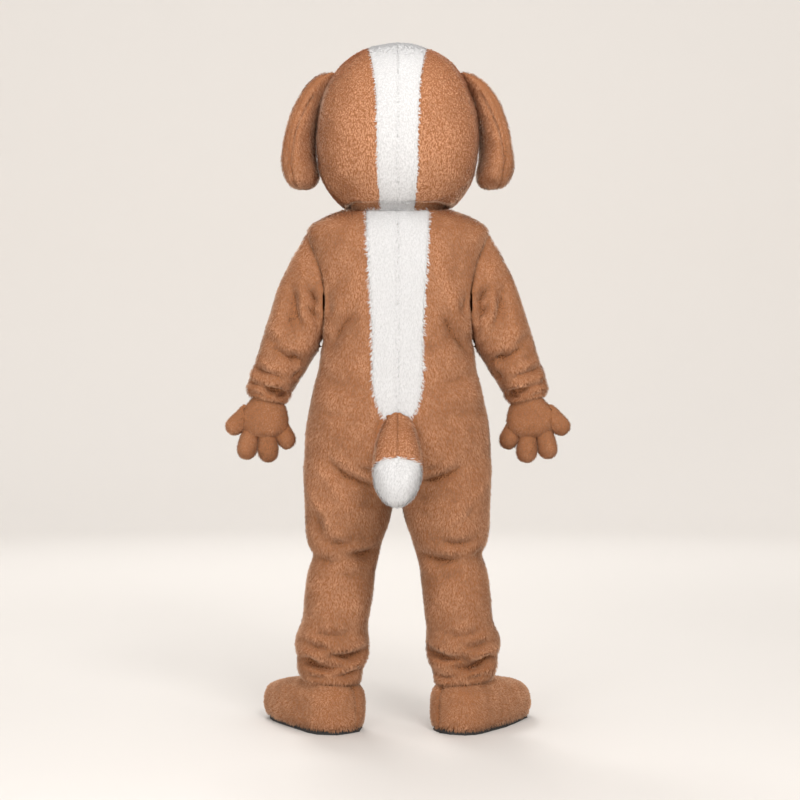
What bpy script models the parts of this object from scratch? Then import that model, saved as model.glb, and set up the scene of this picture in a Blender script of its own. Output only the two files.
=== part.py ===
"""A dog mascot costume in plush: head, body suit, gloves, tail and boots.

The wearer faces -Y and stands at the origin's X and Y. The origin is the point where the
suit hangs on the wearer, between the shoulders at the root of the neck. Every height in
the tables is above the floor; `place` lowers the finished meshes to the origin.
Each panel is a wall: its outer points follow a form worked out from the tables, and its
inner points lie one wall thickness inside. The tables hold the left half, and each piece
is mirrored for the right one.
"""
import math

import bmesh
import bpy
import numpy as np

# Driving sizes, in metres.
HOLD_HEIGHT = 1.360     # of the hold point above the floor
GAP = 0.0003            # left between two pieces at a seam
CLOTH = 0.006           # plush: a knitted backing and its pile
FOAM = 0.010            # foam shell with its plush, on the head and the boots
SOLE = 0.011            # rubber under each boot

COLOURS = {
    "brown_plush": ((0.45, 0.205, 0.095), 0.95),
    "white_plush": ((0.88, 0.86, 0.83), 0.95),
    "black_rubber": ((0.02, 0.02, 0.02), 0.7),
    "black_gloss": ((0.01, 0.01, 0.01), 0.15),
}


class Table:
    """Rows of sizes with named columns, read on a smooth curve through the rows."""

    def __init__(self, columns, rows):
        self.names = columns.split()
        self.rows = np.array(rows, float)
        self.last = len(rows) - 1

    def at(self, where):
        """Every column, by name, at a fractional row number."""
        where = min(max(where, 0.0), float(self.last))
        k = min(int(where), self.last - 1)
        t = where - k
        a, b = self.rows[k], self.rows[k + 1]
        slope_a = (b - self.rows[max(k - 1, 0)]) / (2 if k else 1)
        slope_b = (self.rows[min(k + 2, self.last)] - a) / (2 if k + 2 <= self.last else 1)
        values = (a * (2 * t**3 - 3 * t**2 + 1) + slope_a * (t**3 - 2 * t**2 + t)
                  + b * (3 * t**2 - 2 * t**3) + slope_b * (t**3 - t**2))
        return dict(zip(self.names, values))

    def by(self, column, value):
        """Every column where this one, which rises or falls steadily, has this value."""
        steps = self.rows[:, self.names.index(column)]
        count = np.arange(self.last + 1)
        if steps[0] > steps[-1]:
            steps, count = steps[::-1], count[::-1]
        return self.at(float(np.interp(value, steps, count)))


def unit(vector):
    """The direction of a vector."""
    return vector / max(np.linalg.norm(vector), 1e-9)


def power(value, exponent):
    """A power that keeps the sign of its base."""
    return math.copysign(abs(value) ** exponent, value)


# ---------------------------------------------------------------- body suit

# From the neckline down to the underarm. The edge runs down the shoulder seam to the
# shoulder point (row 3) and then round the armhole to the underarm (row 11).
YOKE = Table("back_y back_z front_y front_z edge_x edge_y edge_z", (
    (0.102, 1.371, 0.101, 1.352, 0.132, 0.000, 1.382),
    (0.123, 1.350, 0.121, 1.333, 0.164, 0.000, 1.373),
    (0.138, 1.326, 0.136, 1.311, 0.203, 0.000, 1.356),
    (0.149, 1.297, 0.149, 1.285, 0.239, 0.000, 1.331),
    (0.156, 1.262, 0.158, 1.254, 0.233, 0.045, 1.290),
    (0.161, 1.225, 0.164, 1.221, 0.213, 0.077, 1.241),
    (0.165, 1.186, 0.169, 1.184, 0.200, 0.093, 1.192),
    (0.168, 1.147, 0.173, 1.146, 0.195, 0.097, 1.147),
    (0.170, 1.106, 0.176, 1.106, 0.195, 0.091, 1.104),
    (0.172, 1.067, 0.178, 1.067, 0.198, 0.070, 1.063),
    (0.173, 1.040, 0.179, 1.040, 0.2015, 0.039, 1.036),
    (0.174, 1.015, 0.180, 1.015, 0.204, 0.000, 1.015),
))
SHOULDER_ROW, UNDERARM_ROW = 3, 11

TRUNK = Table("height half_width back front", (
    (1.015, 0.2040, 0.174, 0.180),
    (0.970, 0.2075, 0.176, 0.184),
    (0.920, 0.2190, 0.180, 0.187),
    (0.870, 0.2320, 0.185, 0.188),
    (0.820, 0.2405, 0.188, 0.185),
    (0.770, 0.2455, 0.188, 0.178),
    (0.720, 0.2480, 0.185, 0.170),
    (0.660, 0.2480, 0.172, 0.158),
    (0.595, 0.2478, 0.152, 0.142),
))

LEG = Table("height centre half_width back front", (
    (0.660, 0.1250, 0.1230, 0.150, 0.140),
    (0.606, 0.1265, 0.1210, 0.143, 0.129),
    (0.585, 0.1300, 0.1170, 0.140, 0.124),
    (0.550, 0.1335, 0.1130, 0.131, 0.116),
    (0.510, 0.1380, 0.1030, 0.120, 0.108),
    (0.480, 0.1390, 0.0955, 0.110, 0.104),
    (0.455, 0.1405, 0.0905, 0.100, 0.104),
    (0.430, 0.1470, 0.0890, 0.099, 0.102),
    (0.390, 0.1525, 0.0905, 0.106, 0.095),
    (0.345, 0.1580, 0.0915, 0.109, 0.092),
    (0.305, 0.1620, 0.0900, 0.106, 0.092),
    (0.275, 0.1680, 0.0920, 0.103, 0.095),
    (0.250, 0.1730, 0.0975, 0.107, 0.100),
    (0.225, 0.1735, 0.0993, 0.108, 0.104),
    (0.205, 0.1735, 0.0985, 0.104, 0.102),
    (0.185, 0.1735, 0.0940, 0.099, 0.098),
    (0.165, 0.1780, 0.0890, 0.096, 0.095),
    (0.146, 0.1780, 0.0845, 0.090, 0.088),
    (0.129, 0.1770, 0.0815, 0.085, 0.083),
))
LEG_Y = 0.010
HEM_LIFT = 0.018        # the hem rides up over the instep, which points this way
HEM_LIFT_ANGLE = -60.0
HEM_TILT = 0.006        # and hangs lower on the inner side
HEM_LIFT_FROM = 0.200
HEM = 0.129

# Heights of the section rows below the underarm, at the side seam and at the middle or
# the inseam. The rows slope round the crotch, which they follow as a quarter round.
LEVELS = Table("outer inner", (
    (1.015, 1.015), (0.970, 0.970), (0.925, 0.925), (0.880, 0.880), (0.840, 0.840),
    (0.800, 0.800), (0.760, 0.760), (0.722, 0.722),
    (0.697, 0.692), (0.672, 0.664), (0.647, 0.640), (0.622, 0.6215), (0.597, 0.610),
    (0.575, 0.606),
    (0.550, 0.584), (0.526, 0.556), (0.503, 0.528), (0.482, 0.500), (0.462, 0.474),
    (0.442, 0.449), (0.418, 0.420), (0.380, 0.380), (0.340, 0.340), (0.305, 0.305),
    (0.278, 0.278), (0.256, 0.256), (0.238, 0.238), (0.221, 0.221), (0.206, 0.206),
    (0.191, 0.191), (0.176, 0.176), (0.161, 0.161), (0.145, 0.145), (0.129, 0.129),
))
CROTCH_TOP_ROW, CROTCH_ROW = 18, 24
LAST_ROW = UNDERARM_ROW + LEVELS.last
PANEL_COLUMNS = 7

# Half width of the white stripe down the back, which ends under the tail's root.
STRIPE = Table("height half_width", (
    (1.371, 0.0833), (1.290, 0.0795), (1.130, 0.0705), (1.030, 0.0655),
    (0.925, 0.0640), (0.880, 0.0570), (0.840, 0.0420), (0.800, 0.0040),
))
STRIPE_END = 0.800
STRIPE_COLUMNS = 2

TRUNK_SQUARE, LEG_SQUARE = 2.4, 2.2     # superellipse powers of the sections

# Drape folds as troughs, or ridges where the depth is negative. The side is 1 for the
# back and -1 for the front; x and height give the two ends.
BODY_FOLDS = Table("side x0 height0 x1 height1 width depth", (
    (1, 0.170, 0.713, 0.050, 0.650, 0.024, 0.009),
    (1, 0.238, 0.690, 0.200, 0.590, 0.020, -0.005),
    (1, 0.208, 0.580, 0.190, 0.520, 0.018, 0.007),
    (1, 0.195, 0.680, 0.130, 0.600, 0.022, -0.004),
    (1, 0.122, 1.095, 0.175, 1.020, 0.022, 0.006),
    (1, 0.150, 1.250, 0.185, 1.120, 0.022, 0.005),
    (-1, 0.170, 0.700, 0.050, 0.645, 0.024, 0.007),
    (-1, 0.212, 0.640, 0.120, 0.580, 0.021, 0.006),
    (-1, 0.120, 1.100, 0.180, 1.020, 0.022, 0.006),
    (-1, 0.145, 1.240, 0.182, 1.110, 0.022, 0.006),
    (-1, 0.050, 0.930, 0.160, 0.900, 0.026, 0.004),
))

# Scrunch folds round the leg. The angle runs from the outer side (0) over the back (90)
# to the inseam (180); rise is the climb from the fold's middle to its far end.
LEG_FOLDS = Table("height angle span rise width depth", (
    (0.508, 80, 40, 0.004, 0.013, 0.006),
    (0.479, 128, 54, 0.008, 0.013, 0.011),
    (0.466, 10, 36, -0.004, 0.013, 0.008),
    (0.486, 262, 60, 0.003, 0.014, 0.006),
    (0.452, 232, 42, 0.006, 0.013, 0.007),
    (0.243, 58, 54, 0.005, 0.011, 0.006),
    (0.212, 124, 54, 0.007, 0.011, 0.013),
    (0.186, 74, 58, -0.006, 0.010, 0.013),
    (0.160, 130, 46, 0.004, 0.009, 0.005),
    (0.232, 246, 52, 0.004, 0.011, 0.009),
    (0.200, 296, 58, -0.006, 0.011, 0.012),
    (0.176, 236, 50, 0.006, 0.010, 0.007),
    (0.205, 352, 36, 0.004, 0.010, 0.006),
))


def leg_share(row, across=0.0):
    """0 where a row is all trunk, 1 where it is all leg. At the middle it follows the
    crotch curve's quarter round, and a softer curve away from it."""
    down = min(max((row - CROTCH_TOP_ROW) / (CROTCH_ROW - CROTCH_TOP_ROW), 0.0), 1.0)
    sharp = 1 - math.cos(down * math.pi / 2)
    soft = down * down * (3 - 2 * down)
    return sharp + (soft - sharp) * min(across / 0.4, 1.0)


def trunk_section(side, row):
    """Middle and edge of the trunk's half section on a row: middle y and z, edge x, y, z."""
    if row <= UNDERARM_ROW:
        r = YOKE.at(row)
        name = "back" if side > 0 else "front"
        return r[name + "_y"], r[name + "_z"], r["edge_x"], max(r["edge_y"], 0.0), r["edge_z"]
    level = LEVELS.at(row - UNDERARM_ROW)
    depth = TRUNK.by("height", level["inner"])["back" if side > 0 else "front"]
    half = TRUNK.by("height", level["outer"])["half_width"]
    return depth, level["inner"], half, 0.0, level["outer"]


def trunk_span(side, row):
    """The half width of the trunk's full superellipse on a row, and the angle of the edge
    on it."""
    middle_y, _, edge_x, edge_y, _ = trunk_section(side, row)
    n = TRUNK_SQUARE
    width = edge_x / (1 - (edge_y / middle_y) ** n) ** (1 / n)
    return width, math.asin(min((edge_x / width) ** (n / 2), 1.0))


def trunk_point(side, row, across):
    """A point of the trunk, from the middle (across 0) to the edge (1)."""
    middle_y, middle_z, edge_x, _, edge_z = trunk_section(side, row)
    n = TRUNK_SQUARE
    width, full = trunk_span(side, row)
    x = width * math.sin(across * full) ** (2 / n)
    y = middle_y * max(math.cos(across * full), 0.0) ** (2 / n)
    z = middle_z + (edge_z - middle_z) * (x / edge_x) ** 2
    return np.array((x, side * y, z))


def leg_point(side, row, across):
    """A point of the leg, from the inseam (across 0) to the side seam (1)."""
    level = LEVELS.at(row - UNDERARM_ROW)
    height = level["inner"] + (level["outer"] - level["inner"]) * across
    r = LEG.by("height", height)
    angle = math.pi * (1 - across)
    x = r["centre"] + r["half_width"] * power(math.cos(angle), 2 / LEG_SQUARE)
    y = r["back" if side > 0 else "front"] * max(math.sin(angle), 0.0) ** (2 / LEG_SQUARE)
    if height < HEM_LIFT_FROM:
        down = (HEM_LIFT_FROM - height) / (HEM_LIFT_FROM - HEM)
        facing = max(math.cos(side * angle - math.radians(HEM_LIFT_ANGLE)), 0.0)
        height += down * (HEM_LIFT * facing ** 2 + HEM_TILT * math.cos(angle))
    return np.array((x, LEG_Y + side * y, height))


def body_form(side, row, across):
    """The smooth form of the body suit, before its folds."""
    share = leg_share(row, across)
    if share == 0:
        return trunk_point(side, row, across)
    if share == 1:
        return leg_point(side, row, across)
    return (1 - share) * trunk_point(side, row, across) + share * leg_point(side, row, across)


def body_axis(row, height):
    """A point inside the trunk or the leg, level with a point of the surface."""
    if row <= UNDERARM_ROW:
        return np.array((0.0, 0.0, min(height, 1.2)))
    share = leg_share(row)
    return np.array((share * LEG.by("height", height)["centre"], share * LEG_Y, height))


def surface_normal(form, u, v, inside, step=0.004):
    """Outward normal of form(u, v) by differences, turned away from the inside point."""
    along_u = form(u + step, v) - form(u - step, v)
    along_v = form(u, v + step) - form(u, v - step)
    normal = unit(np.cross(along_u, along_v))
    return normal if normal @ (form(u, v) - inside) > 0 else -normal


def body_normal(side, row, across):
    """Outward normal of the body's form."""
    def form(r, a):
        return body_form(side, min(max(r, 0.0), LAST_ROW), min(max(a, 0.0), 1.0))
    point = form(row, across)
    return surface_normal(form, row, across, body_axis(row, point[2]), 0.01)


def segment_distance(point, start, end):
    """Distance from a point to a segment."""
    line = end - start
    t = min(max(float((point - start) @ line / (line @ line)), 0.0), 1.0)
    return float(np.linalg.norm(point - start - t * line))


def drape_depth(point, side):
    """How deep the drape folds press in at a point of the trunk or the thigh."""
    depth = 0.0
    for k in range(BODY_FOLDS.last + 1):
        f = BODY_FOLDS.at(k)
        if f["side"] * side < 0:
            continue
        start = np.array((f["x0"], f["height0"]))
        end = np.array((f["x1"], f["height1"]))
        away = segment_distance(point[[0, 2]], start, end)
        depth += f["depth"] * math.exp(-(away / f["width"]) ** 2)
    facing = min(abs(point[1]) / 0.05, 1.0)
    return depth * facing


def scrunch_depth(table, place, angle):
    """How deep the scrunch folds of a tube press in, at a place along it and an angle."""
    depth = 0.0
    for k in range(table.last + 1):
        f = table.at(k)
        turn = (angle - f["angle"] + 180) % 360 - 180
        if abs(turn) > f["span"]:
            continue
        part = turn / f["span"]
        centre = f[table.names[0]] + f["rise"] * part
        away = (place - centre) / f["width"]
        depth += f["depth"] * math.exp(-away * away) * math.cos(part * math.pi / 2) ** 0.7
    return depth


def body_depth(side, row, point):
    """All folds at a point of the body."""
    depth = drape_depth(point, side)
    if row >= CROTCH_ROW:
        leg = LEG.by("height", point[2])
        angle = math.degrees(math.atan2(point[1] - LEG_Y, point[0] - leg["centre"]))
        depth += scrunch_depth(LEG_FOLDS, point[2], angle % 360)
    return depth


def body_walls(side, row, across):
    """Outer and inner point of the body's wall at a place."""
    point = body_form(side, row, across)
    normal = body_normal(side, row, across)
    outer = point - normal * body_depth(side, row, point)
    seam_y = LEG_Y * leg_share(row)
    walls = []
    for wall in (outer, outer - normal * CLOTH):
        if side * (wall[1] - seam_y) < GAP / 2:
            wall[1] = seam_y + side * GAP / 2
        wall[0] = max(wall[0], GAP / 2)
        walls.append(wall)
    return walls


def across_of_x(side, row, x):
    """The place across a trunk row where the form is this far from the middle plane."""
    width, full = trunk_span(side, row)
    return math.asin((x / width) ** (TRUNK_SQUARE / 2)) / full


def spread(form, start, end, count):
    """Places from start to end that are equally far apart along a row."""
    samples = np.linspace(start, end, 40)
    points = np.array([form(s) for s in samples])
    lengths = np.concatenate(([0.0], np.cumsum(np.linalg.norm(np.diff(points, axis=0), axis=1))))
    wanted = np.linspace(0, lengths[-1], count + 1)
    return np.interp(wanted, lengths, samples)


def stripe_half(row):
    """Half width of the back stripe on a row, 0 below its end."""
    height = trunk_section(1, row)[1]
    if height < STRIPE_END - 1e-6:
        return 0.0
    return STRIPE.by("height", height)["half_width"]


# ---------------------------------------------------------------- mesh helpers

def wall_mesh(outer, inner, closed=False, pole=False):
    """A closed wall between two grids of points. Grid rows may close on themselves, and
    the last row may be a pole: one point that closes the end of a tube."""
    rows, columns = len(outer), len(outer[0])
    points, faces = [], []
    layers = []
    for grid in (outer, inner):
        ids = []
        for k, line in enumerate(grid):
            if pole and k == rows - 1:
                points.append(line[0])
                ids.append([len(points) - 1] * columns)
                continue
            ids.append(list(range(len(points), len(points) + columns)))
            points.extend(line)
        layers.append(ids)
    steps = columns if closed else columns - 1
    for side, ids in enumerate(layers):
        for r in range(rows - 1):
            for c in range(steps):
                d = (c + 1) % columns
                face = [ids[r][c], ids[r][d], ids[r + 1][d], ids[r + 1][c]]
                face = [p for n, p in enumerate(face) if p not in face[:n]]
                faces.append(face[::-1] if side else face)
    across = list(range(columns)) + ([0] if closed else [])
    rim = [[(0, c) for c in across[::-1]]]
    if not pole:
        rim.append([(rows - 1, c) for c in across])
    if not closed:
        rim.append([(r, 0) for r in range(rows)])
        rim.append([(r, columns - 1) for r in range(rows)][::-1])
    for line in rim:
        for (r0, c0), (r1, c1) in zip(line, line[1:]):
            faces.append([layers[0][r0][c0], layers[0][r1][c1],
                          layers[1][r1][c1], layers[1][r0][c0]])
    return points, faces


def loft_mesh(rings, start_pole=None, end_pole=None):
    """A closed solid through rings of points. An end is a fan to its pole, or a flat face."""
    points, faces = [], []
    ids = []
    for ring in rings:
        ids.append(list(range(len(points), len(points) + len(ring))))
        points.extend(ring)
    count = len(rings[0])
    for a, b in zip(ids, ids[1:]):
        for c in range(count):
            d = (c + 1) % count
            faces.append([a[c], a[d], b[d], b[c]])
    for ring, pole in ((ids[0][::-1], start_pole), (ids[-1], end_pole)):
        if pole is None:
            faces.append(ring)
            continue
        points.append(pole)
        for c in range(count):
            faces.append([ring[c], ring[(c + 1) % count], len(points) - 1])
    return points, faces


def material(name):
    """One Principled material for each colour of cloth."""
    found = bpy.data.materials.get(name)
    if found:
        return found
    colour, roughness = COLOURS[name]
    made = bpy.data.materials.new(name)
    made.use_nodes = True
    shader = made.node_tree.nodes["Principled BSDF"]
    shader.inputs["Base Color"].default_value = (*colour, 1.0)
    shader.inputs["Roughness"].default_value = roughness
    shader.inputs["Metallic"].default_value = 0.0
    return made


def place(name, points, faces, finish, mirror=False):
    """Make an object of these points, lowered to the origin and facing outwards."""
    points = np.array(points, float) - (0, 0, HOLD_HEIGHT)
    if mirror:
        points[:, 0] = -points[:, 0]
    mesh = bpy.data.meshes.new(name)
    mesh.from_pydata(points.tolist(), [], faces)
    mesh.materials.append(material(finish))
    shape = bmesh.new()
    shape.from_mesh(mesh)
    bmesh.ops.recalc_face_normals(shape, faces=shape.faces)
    shape.to_mesh(mesh)
    shape.free()
    mesh.shade_smooth()
    piece = bpy.data.objects.new(name, mesh)
    bpy.context.scene.collection.objects.link(piece)
    return piece


def place_pair(name, points, faces, finish):
    """The left piece and its mirror image on the right."""
    place(name.format("left"), points, faces, finish)
    place(name.format("right"), points, faces, finish, mirror=True)


# ---------------------------------------------------------------- body panels

def make_body_panels():
    """Front and back, torso and leg cut in one."""
    for side, name in ((1, "back_{}"), (-1, "front_{}")):
        outer, inner = [], []
        for row in range(LAST_ROW + 1):
            start = 0.0
            if side > 0 and stripe_half(row) > 0:
                start = across_of_x(side, row, stripe_half(row) + GAP / 2)
            places = spread(lambda a: body_form(side, row, a), start, 1.0, PANEL_COLUMNS)
            walls = [body_walls(side, row, a) for a in places]
            outer.append([w[0] for w in walls])
            inner.append([w[1] for w in walls])
        place_pair(name, *wall_mesh(outer, inner), "brown_plush")


def make_back_stripe():
    """White stripe down the back in two halves, parted by the concealed centre opening."""
    outer, inner = [], []
    rows = [r for r in range(LAST_ROW + 1) if stripe_half(r) > 0]
    for row in rows:
        end = across_of_x(1, row, stripe_half(row) - GAP / 2)
        places = spread(lambda a: body_form(1, row, a), 0.0, end, STRIPE_COLUMNS)
        walls = [body_walls(1, row, a) for a in places]
        outer.append([w[0] for w in walls])
        inner.append([w[1] for w in walls])
    place_pair("back_stripe_{}", *wall_mesh(outer, inner), "white_plush")


# ---------------------------------------------------------------- sleeves

# The outer line and the underarm line of the sleeve, with its half depth in Y between
# them and the place of its middle in Y.
SLEEVE = Table("top_x top_z under_x under_z depth middle_y", (
    (0.2390, 1.331, 0.2040, 1.015, 0.092, 0.000),
    (0.2600, 1.292, 0.2115, 1.004, 0.094, 0.000),
    (0.2800, 1.255, 0.2190, 0.993, 0.094, 0.000),
    (0.2970, 1.222, 0.2260, 0.982, 0.092, -0.001),
    (0.3120, 1.188, 0.2325, 0.971, 0.090, -0.002),
    (0.3260, 1.152, 0.2385, 0.961, 0.088, -0.004),
    (0.3380, 1.116, 0.2440, 0.952, 0.086, -0.006),
    (0.3490, 1.080, 0.2490, 0.944, 0.084, -0.009),
    (0.3605, 1.044, 0.2545, 0.936, 0.080, -0.012),
    (0.3700, 1.010, 0.2600, 0.928, 0.077, -0.015),
    (0.3800, 0.980, 0.2660, 0.920, 0.073, -0.018),
    (0.3930, 0.955, 0.2725, 0.912, 0.070, -0.021),
    (0.3965, 0.934, 0.2770, 0.903, 0.066, -0.024),
    (0.4050, 0.914, 0.2810, 0.892, 0.063, -0.027),
    (0.4045, 0.898, 0.2870, 0.881, 0.059, -0.029),
    (0.3970, 0.883, 0.2990, 0.864, 0.051, -0.031),
))
SLEEVE_STEPS = 18
AROUND = 2 * (UNDERARM_ROW - SHOULDER_ROW)

# Folds by table row along the sleeve. Angle 0 is the outer line, 90 the back, 180 the
# underarm line.
SLEEVE_FOLDS = Table("place angle span rise width depth", (
    (4.4, 78, 40, 2.6, 1.6, 0.008),
    (7.0, 120, 42, 1.2, 0.9, 0.008),
    (8.9, 98, 56, -0.7, 0.55, 0.010),
    (11.3, 62, 44, 0.2, 0.45, 0.007),
    (13.1, 100, 62, 0.3, 0.42, 0.010),
    (14.2, 140, 40, -0.2, 0.35, 0.007),
    (12.2, 168, 36, 0.2, 0.45, 0.008),
    (5.0, 285, 42, -1.8, 1.4, 0.008),
    (8.6, 258, 54, 0.6, 0.6, 0.010),
    (11.0, 290, 48, 0.3, 0.5, 0.008),
    (12.9, 250, 56, -0.3, 0.42, 0.010),
))
ARMHOLE_EASE = 4.0      # table rows over which the armhole's form fades into the sleeve


def sleeve_ellipse(place_along, angle):
    """A point of the plain sleeve ring."""
    r = SLEEVE.at(place_along)
    top = np.array((r["top_x"], r["middle_y"], r["top_z"]))
    under = np.array((r["under_x"], r["middle_y"], r["under_z"]))
    turned = math.radians(angle)
    lift = power(math.cos(turned), 0.95)
    depth = np.array((0, r["depth"] * power(math.sin(turned), 0.95), 0))
    return (top + under) / 2 + (top - under) / 2 * lift + depth


def armhole_point(angle):
    """A point of the armhole, at an angle round it."""
    half = angle if angle <= 180 else 360 - angle
    row = SHOULDER_ROW + half / 180 * (UNDERARM_ROW - SHOULDER_ROW)
    r = YOKE.at(row)
    side = 1 if angle <= 180 else -1
    return np.array((r["edge_x"], side * max(r["edge_y"], 0.0), r["edge_z"]))


def sleeve_form(place_along, angle):
    """The sleeve: it starts as the armhole and fades into the plain ring."""
    angle = angle % 360
    fade = max(1 - place_along / ARMHOLE_EASE, 0.0) ** 2
    start = armhole_point(angle) - sleeve_ellipse(0, angle)
    return sleeve_ellipse(place_along, angle) + start * fade


def make_sleeves():
    """One tube for each arm, sewn into the armhole, gathered at the wrist."""
    outer, inner = [], []

    def form(place_along, angle):
        return sleeve_form(min(max(place_along, 0.0), SLEEVE.last), angle)

    for step in range(SLEEVE_STEPS + 1):
        at = SLEEVE.last * step / SLEEVE_STEPS
        middle = np.mean([sleeve_form(at, a) for a in range(0, 360, 30)], axis=0)
        outer.append([])
        inner.append([])
        for k in range(AROUND):
            angle = 360 * k / AROUND
            point = sleeve_form(at, angle)
            normal = surface_normal(form, at, angle, middle, 0.05)
            point = point - normal * scrunch_depth(SLEEVE_FOLDS, at, angle)
            if step == 0:
                point = point + unit(sleeve_form(0.3, angle) - point) * 2 * GAP
            outer[-1].append(point)
            inner[-1].append(point - normal * CLOTH)
    place_pair("sleeve_{}", *wall_mesh(outer, inner, closed=True), "brown_plush")


# ---------------------------------------------------------------- head

HEAD_CENTRE = np.array((0.0, 0.0, 1.556))
HEAD_HALF = 0.216                       # half width
HEAD_BACK, HEAD_FRONT = 0.205, 0.212    # half lengths in Y
HEAD_UP, HEAD_DOWN = 0.267, 0.210
HEAD_SQUARE_X, HEAD_SQUARE_YZ = 2.3, 2.15
HEAD_OPENING = 1.389                    # height of the flat lower edge
HEAD_RINGS, HEAD_AROUND = 6, 26
HEAD_STRIPE_ROWS = 18   # steps of a side panel's border that run along the stripe

# Half width of the white stripe over the head, by the angle from straight back (0) over
# the crown (90) to straight ahead (180).
HEAD_STRIPE = Table("angle half_width", (
    (-55, 0.046), (-30, 0.051), (0, 0.0525), (25, 0.055), (45, 0.061), (62, 0.071),
    (78, 0.078), (95, 0.079), (115, 0.072), (135, 0.062), (155, 0.056), (180, 0.055),
    (235, 0.055),
))


def head_onto(direction, sink=0.0):
    """The head's surface, or one that lies this much inside it, in a direction."""
    y = HEAD_BACK if direction[1] > 0 else HEAD_FRONT
    z = HEAD_UP if direction[2] > 0 else HEAD_DOWN
    x, n, m = HEAD_HALF - sink, HEAD_SQUARE_X, HEAD_SQUARE_YZ
    ring = (abs(direction[1]) / (y - sink)) ** m + (abs(direction[2]) / (z - sink)) ** m
    size = ((abs(direction[0]) / x) ** n + ring ** (n / m)) ** (1 / n)
    return HEAD_CENTRE + direction / size


def head_at(x, angle, sink=0.0):
    """The head's surface at a distance from the middle plane and an angle over the crown."""
    turned = math.radians(angle)
    direction = np.array((0.0, math.cos(turned), math.sin(turned)))
    profile = head_onto(direction, sink) - HEAD_CENTRE
    n = HEAD_SQUARE_X
    shrink = (1 - (abs(x) / (HEAD_HALF - sink)) ** n) ** (1 / n)
    return HEAD_CENTRE + np.array((x, *(profile[1:] * shrink)))


def head_edge_angle(x, sink, front):
    """The angle over the crown at which the surface meets the lower opening."""
    low, high = (269.0, 180.0) if front else (-89.0, 0.0)
    for _ in range(40):
        middle = (low + high) / 2
        if head_at(x, middle, sink)[2] < HEAD_OPENING:
            low = middle
        else:
            high = middle
    return high


def head_stripe_line(step, sink, gap, count):
    """A row across half of the stripe, from the middle plane to its edge."""
    back = head_edge_angle(0.05, sink, False)
    front = head_edge_angle(0.05, sink, True)
    angle = back + (front - back) * step / HEAD_STRIPE_ROWS
    half = HEAD_STRIPE.by("angle", angle)["half_width"] + gap
    line = []
    for x in np.linspace(GAP / 2, half, count):
        at_edge = step in (0, HEAD_STRIPE_ROWS)
        turn = head_edge_angle(x, sink, step > 0) if at_edge else angle
        line.append(head_at(x, turn, sink))
    return line


def head_side_border(step, sink):
    """The border of a side panel: up the stripe at the back, over the crown, down to the
    lower edge at the front, then back along that edge."""
    if step <= HEAD_STRIPE_ROWS:
        return head_stripe_line(step, sink, GAP / 2, 2)[-1]
    turn = (step - HEAD_STRIPE_ROWS) / (HEAD_AROUND - HEAD_STRIPE_ROWS)
    back = turn > 0.5
    inset = head_side_border(0 if back else HEAD_STRIPE_ROWS, sink)[0]
    n = HEAD_SQUARE_X
    drop = (HEAD_CENTRE[2] - HEAD_OPENING) / (HEAD_DOWN - sink)
    reach = (HEAD_HALF - sink) * (1 - drop ** n) ** (1 / n)
    x = inset + (reach - inset) * math.sin(math.pi * turn) ** 0.85
    if x > reach - 1e-4:
        return np.array((reach, 0.0, HEAD_OPENING))
    return head_at(x, head_edge_angle(x, sink, not back), sink)


def head_side_point(ring, step, sink):
    """A point of a side panel, from its middle (ring 0) to its border (1)."""
    border = head_side_border(step, sink) - HEAD_CENTRE
    pole = np.array((HEAD_HALF - sink, 0.0, -0.01))
    if ring >= 1:
        return border + HEAD_CENTRE
    return head_onto(pole + (border - pole) * ring, sink)


def make_head():
    """Two side panels and the white stripe in two halves, as a foam shell."""
    layers = []
    for sink in (0.0, FOAM):
        layers.append([[head_side_point(1 - r / HEAD_RINGS, step, sink)
                        for step in range(HEAD_AROUND)] for r in range(HEAD_RINGS + 1)])
    place_pair("head_{}", *wall_mesh(*layers, closed=True, pole=True), "brown_plush")
    layers = [[head_stripe_line(step, sink, -GAP / 2, 3) for step in range(HEAD_STRIPE_ROWS + 1)]
              for sink in (0.0, FOAM)]
    place_pair("head_stripe_{}", *wall_mesh(*layers), "white_plush")


# ---------------------------------------------------------------- face

MUZZLE = {"x": 0.0, "z": 1.500, "half_x": 0.112, "half_z": 0.078, "height": 0.085}
NOSE = {"x": 0.0, "z": 1.535, "half_x": 0.034, "half_z": 0.026, "height": 0.026}
PAD_GAP = 0.0012        # under a pad that lies on a faceted shell
PAD_EDGE = 0.0015
EYE = {"x": 0.080, "z": 1.612, "half_x": 0.025, "half_z": 0.031, "height": 0.016}


def head_front_y(x, z):
    """Y of the head's front at this place."""
    n, m = HEAD_SQUARE_X, HEAD_SQUARE_YZ
    up = (HEAD_UP if z > HEAD_CENTRE[2] else HEAD_DOWN)
    rise = (abs(z - HEAD_CENTRE[2]) / up) ** m
    side = max(1 - (abs(x) / HEAD_HALF) ** n, 0.0) ** (m / n)
    return -HEAD_FRONT * max(side - rise, 0.0) ** (1 / m)


def dome_rise(dome, x, z):
    """How far a padded dome stands forward at a place."""
    across = (abs(x - dome["x"]) / dome["half_x"]) ** 2 + (abs(z - dome["z"]) / dome["half_z"]) ** 2
    return dome["height"] * math.sqrt(max(1 - across ** 1.25, 0.0))


def muzzle_front_y(x, z):
    """Y of the muzzle's front."""
    return head_front_y(x, z) - PAD_GAP - PAD_EDGE - dome_rise(MUZZLE, x, z)


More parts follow.
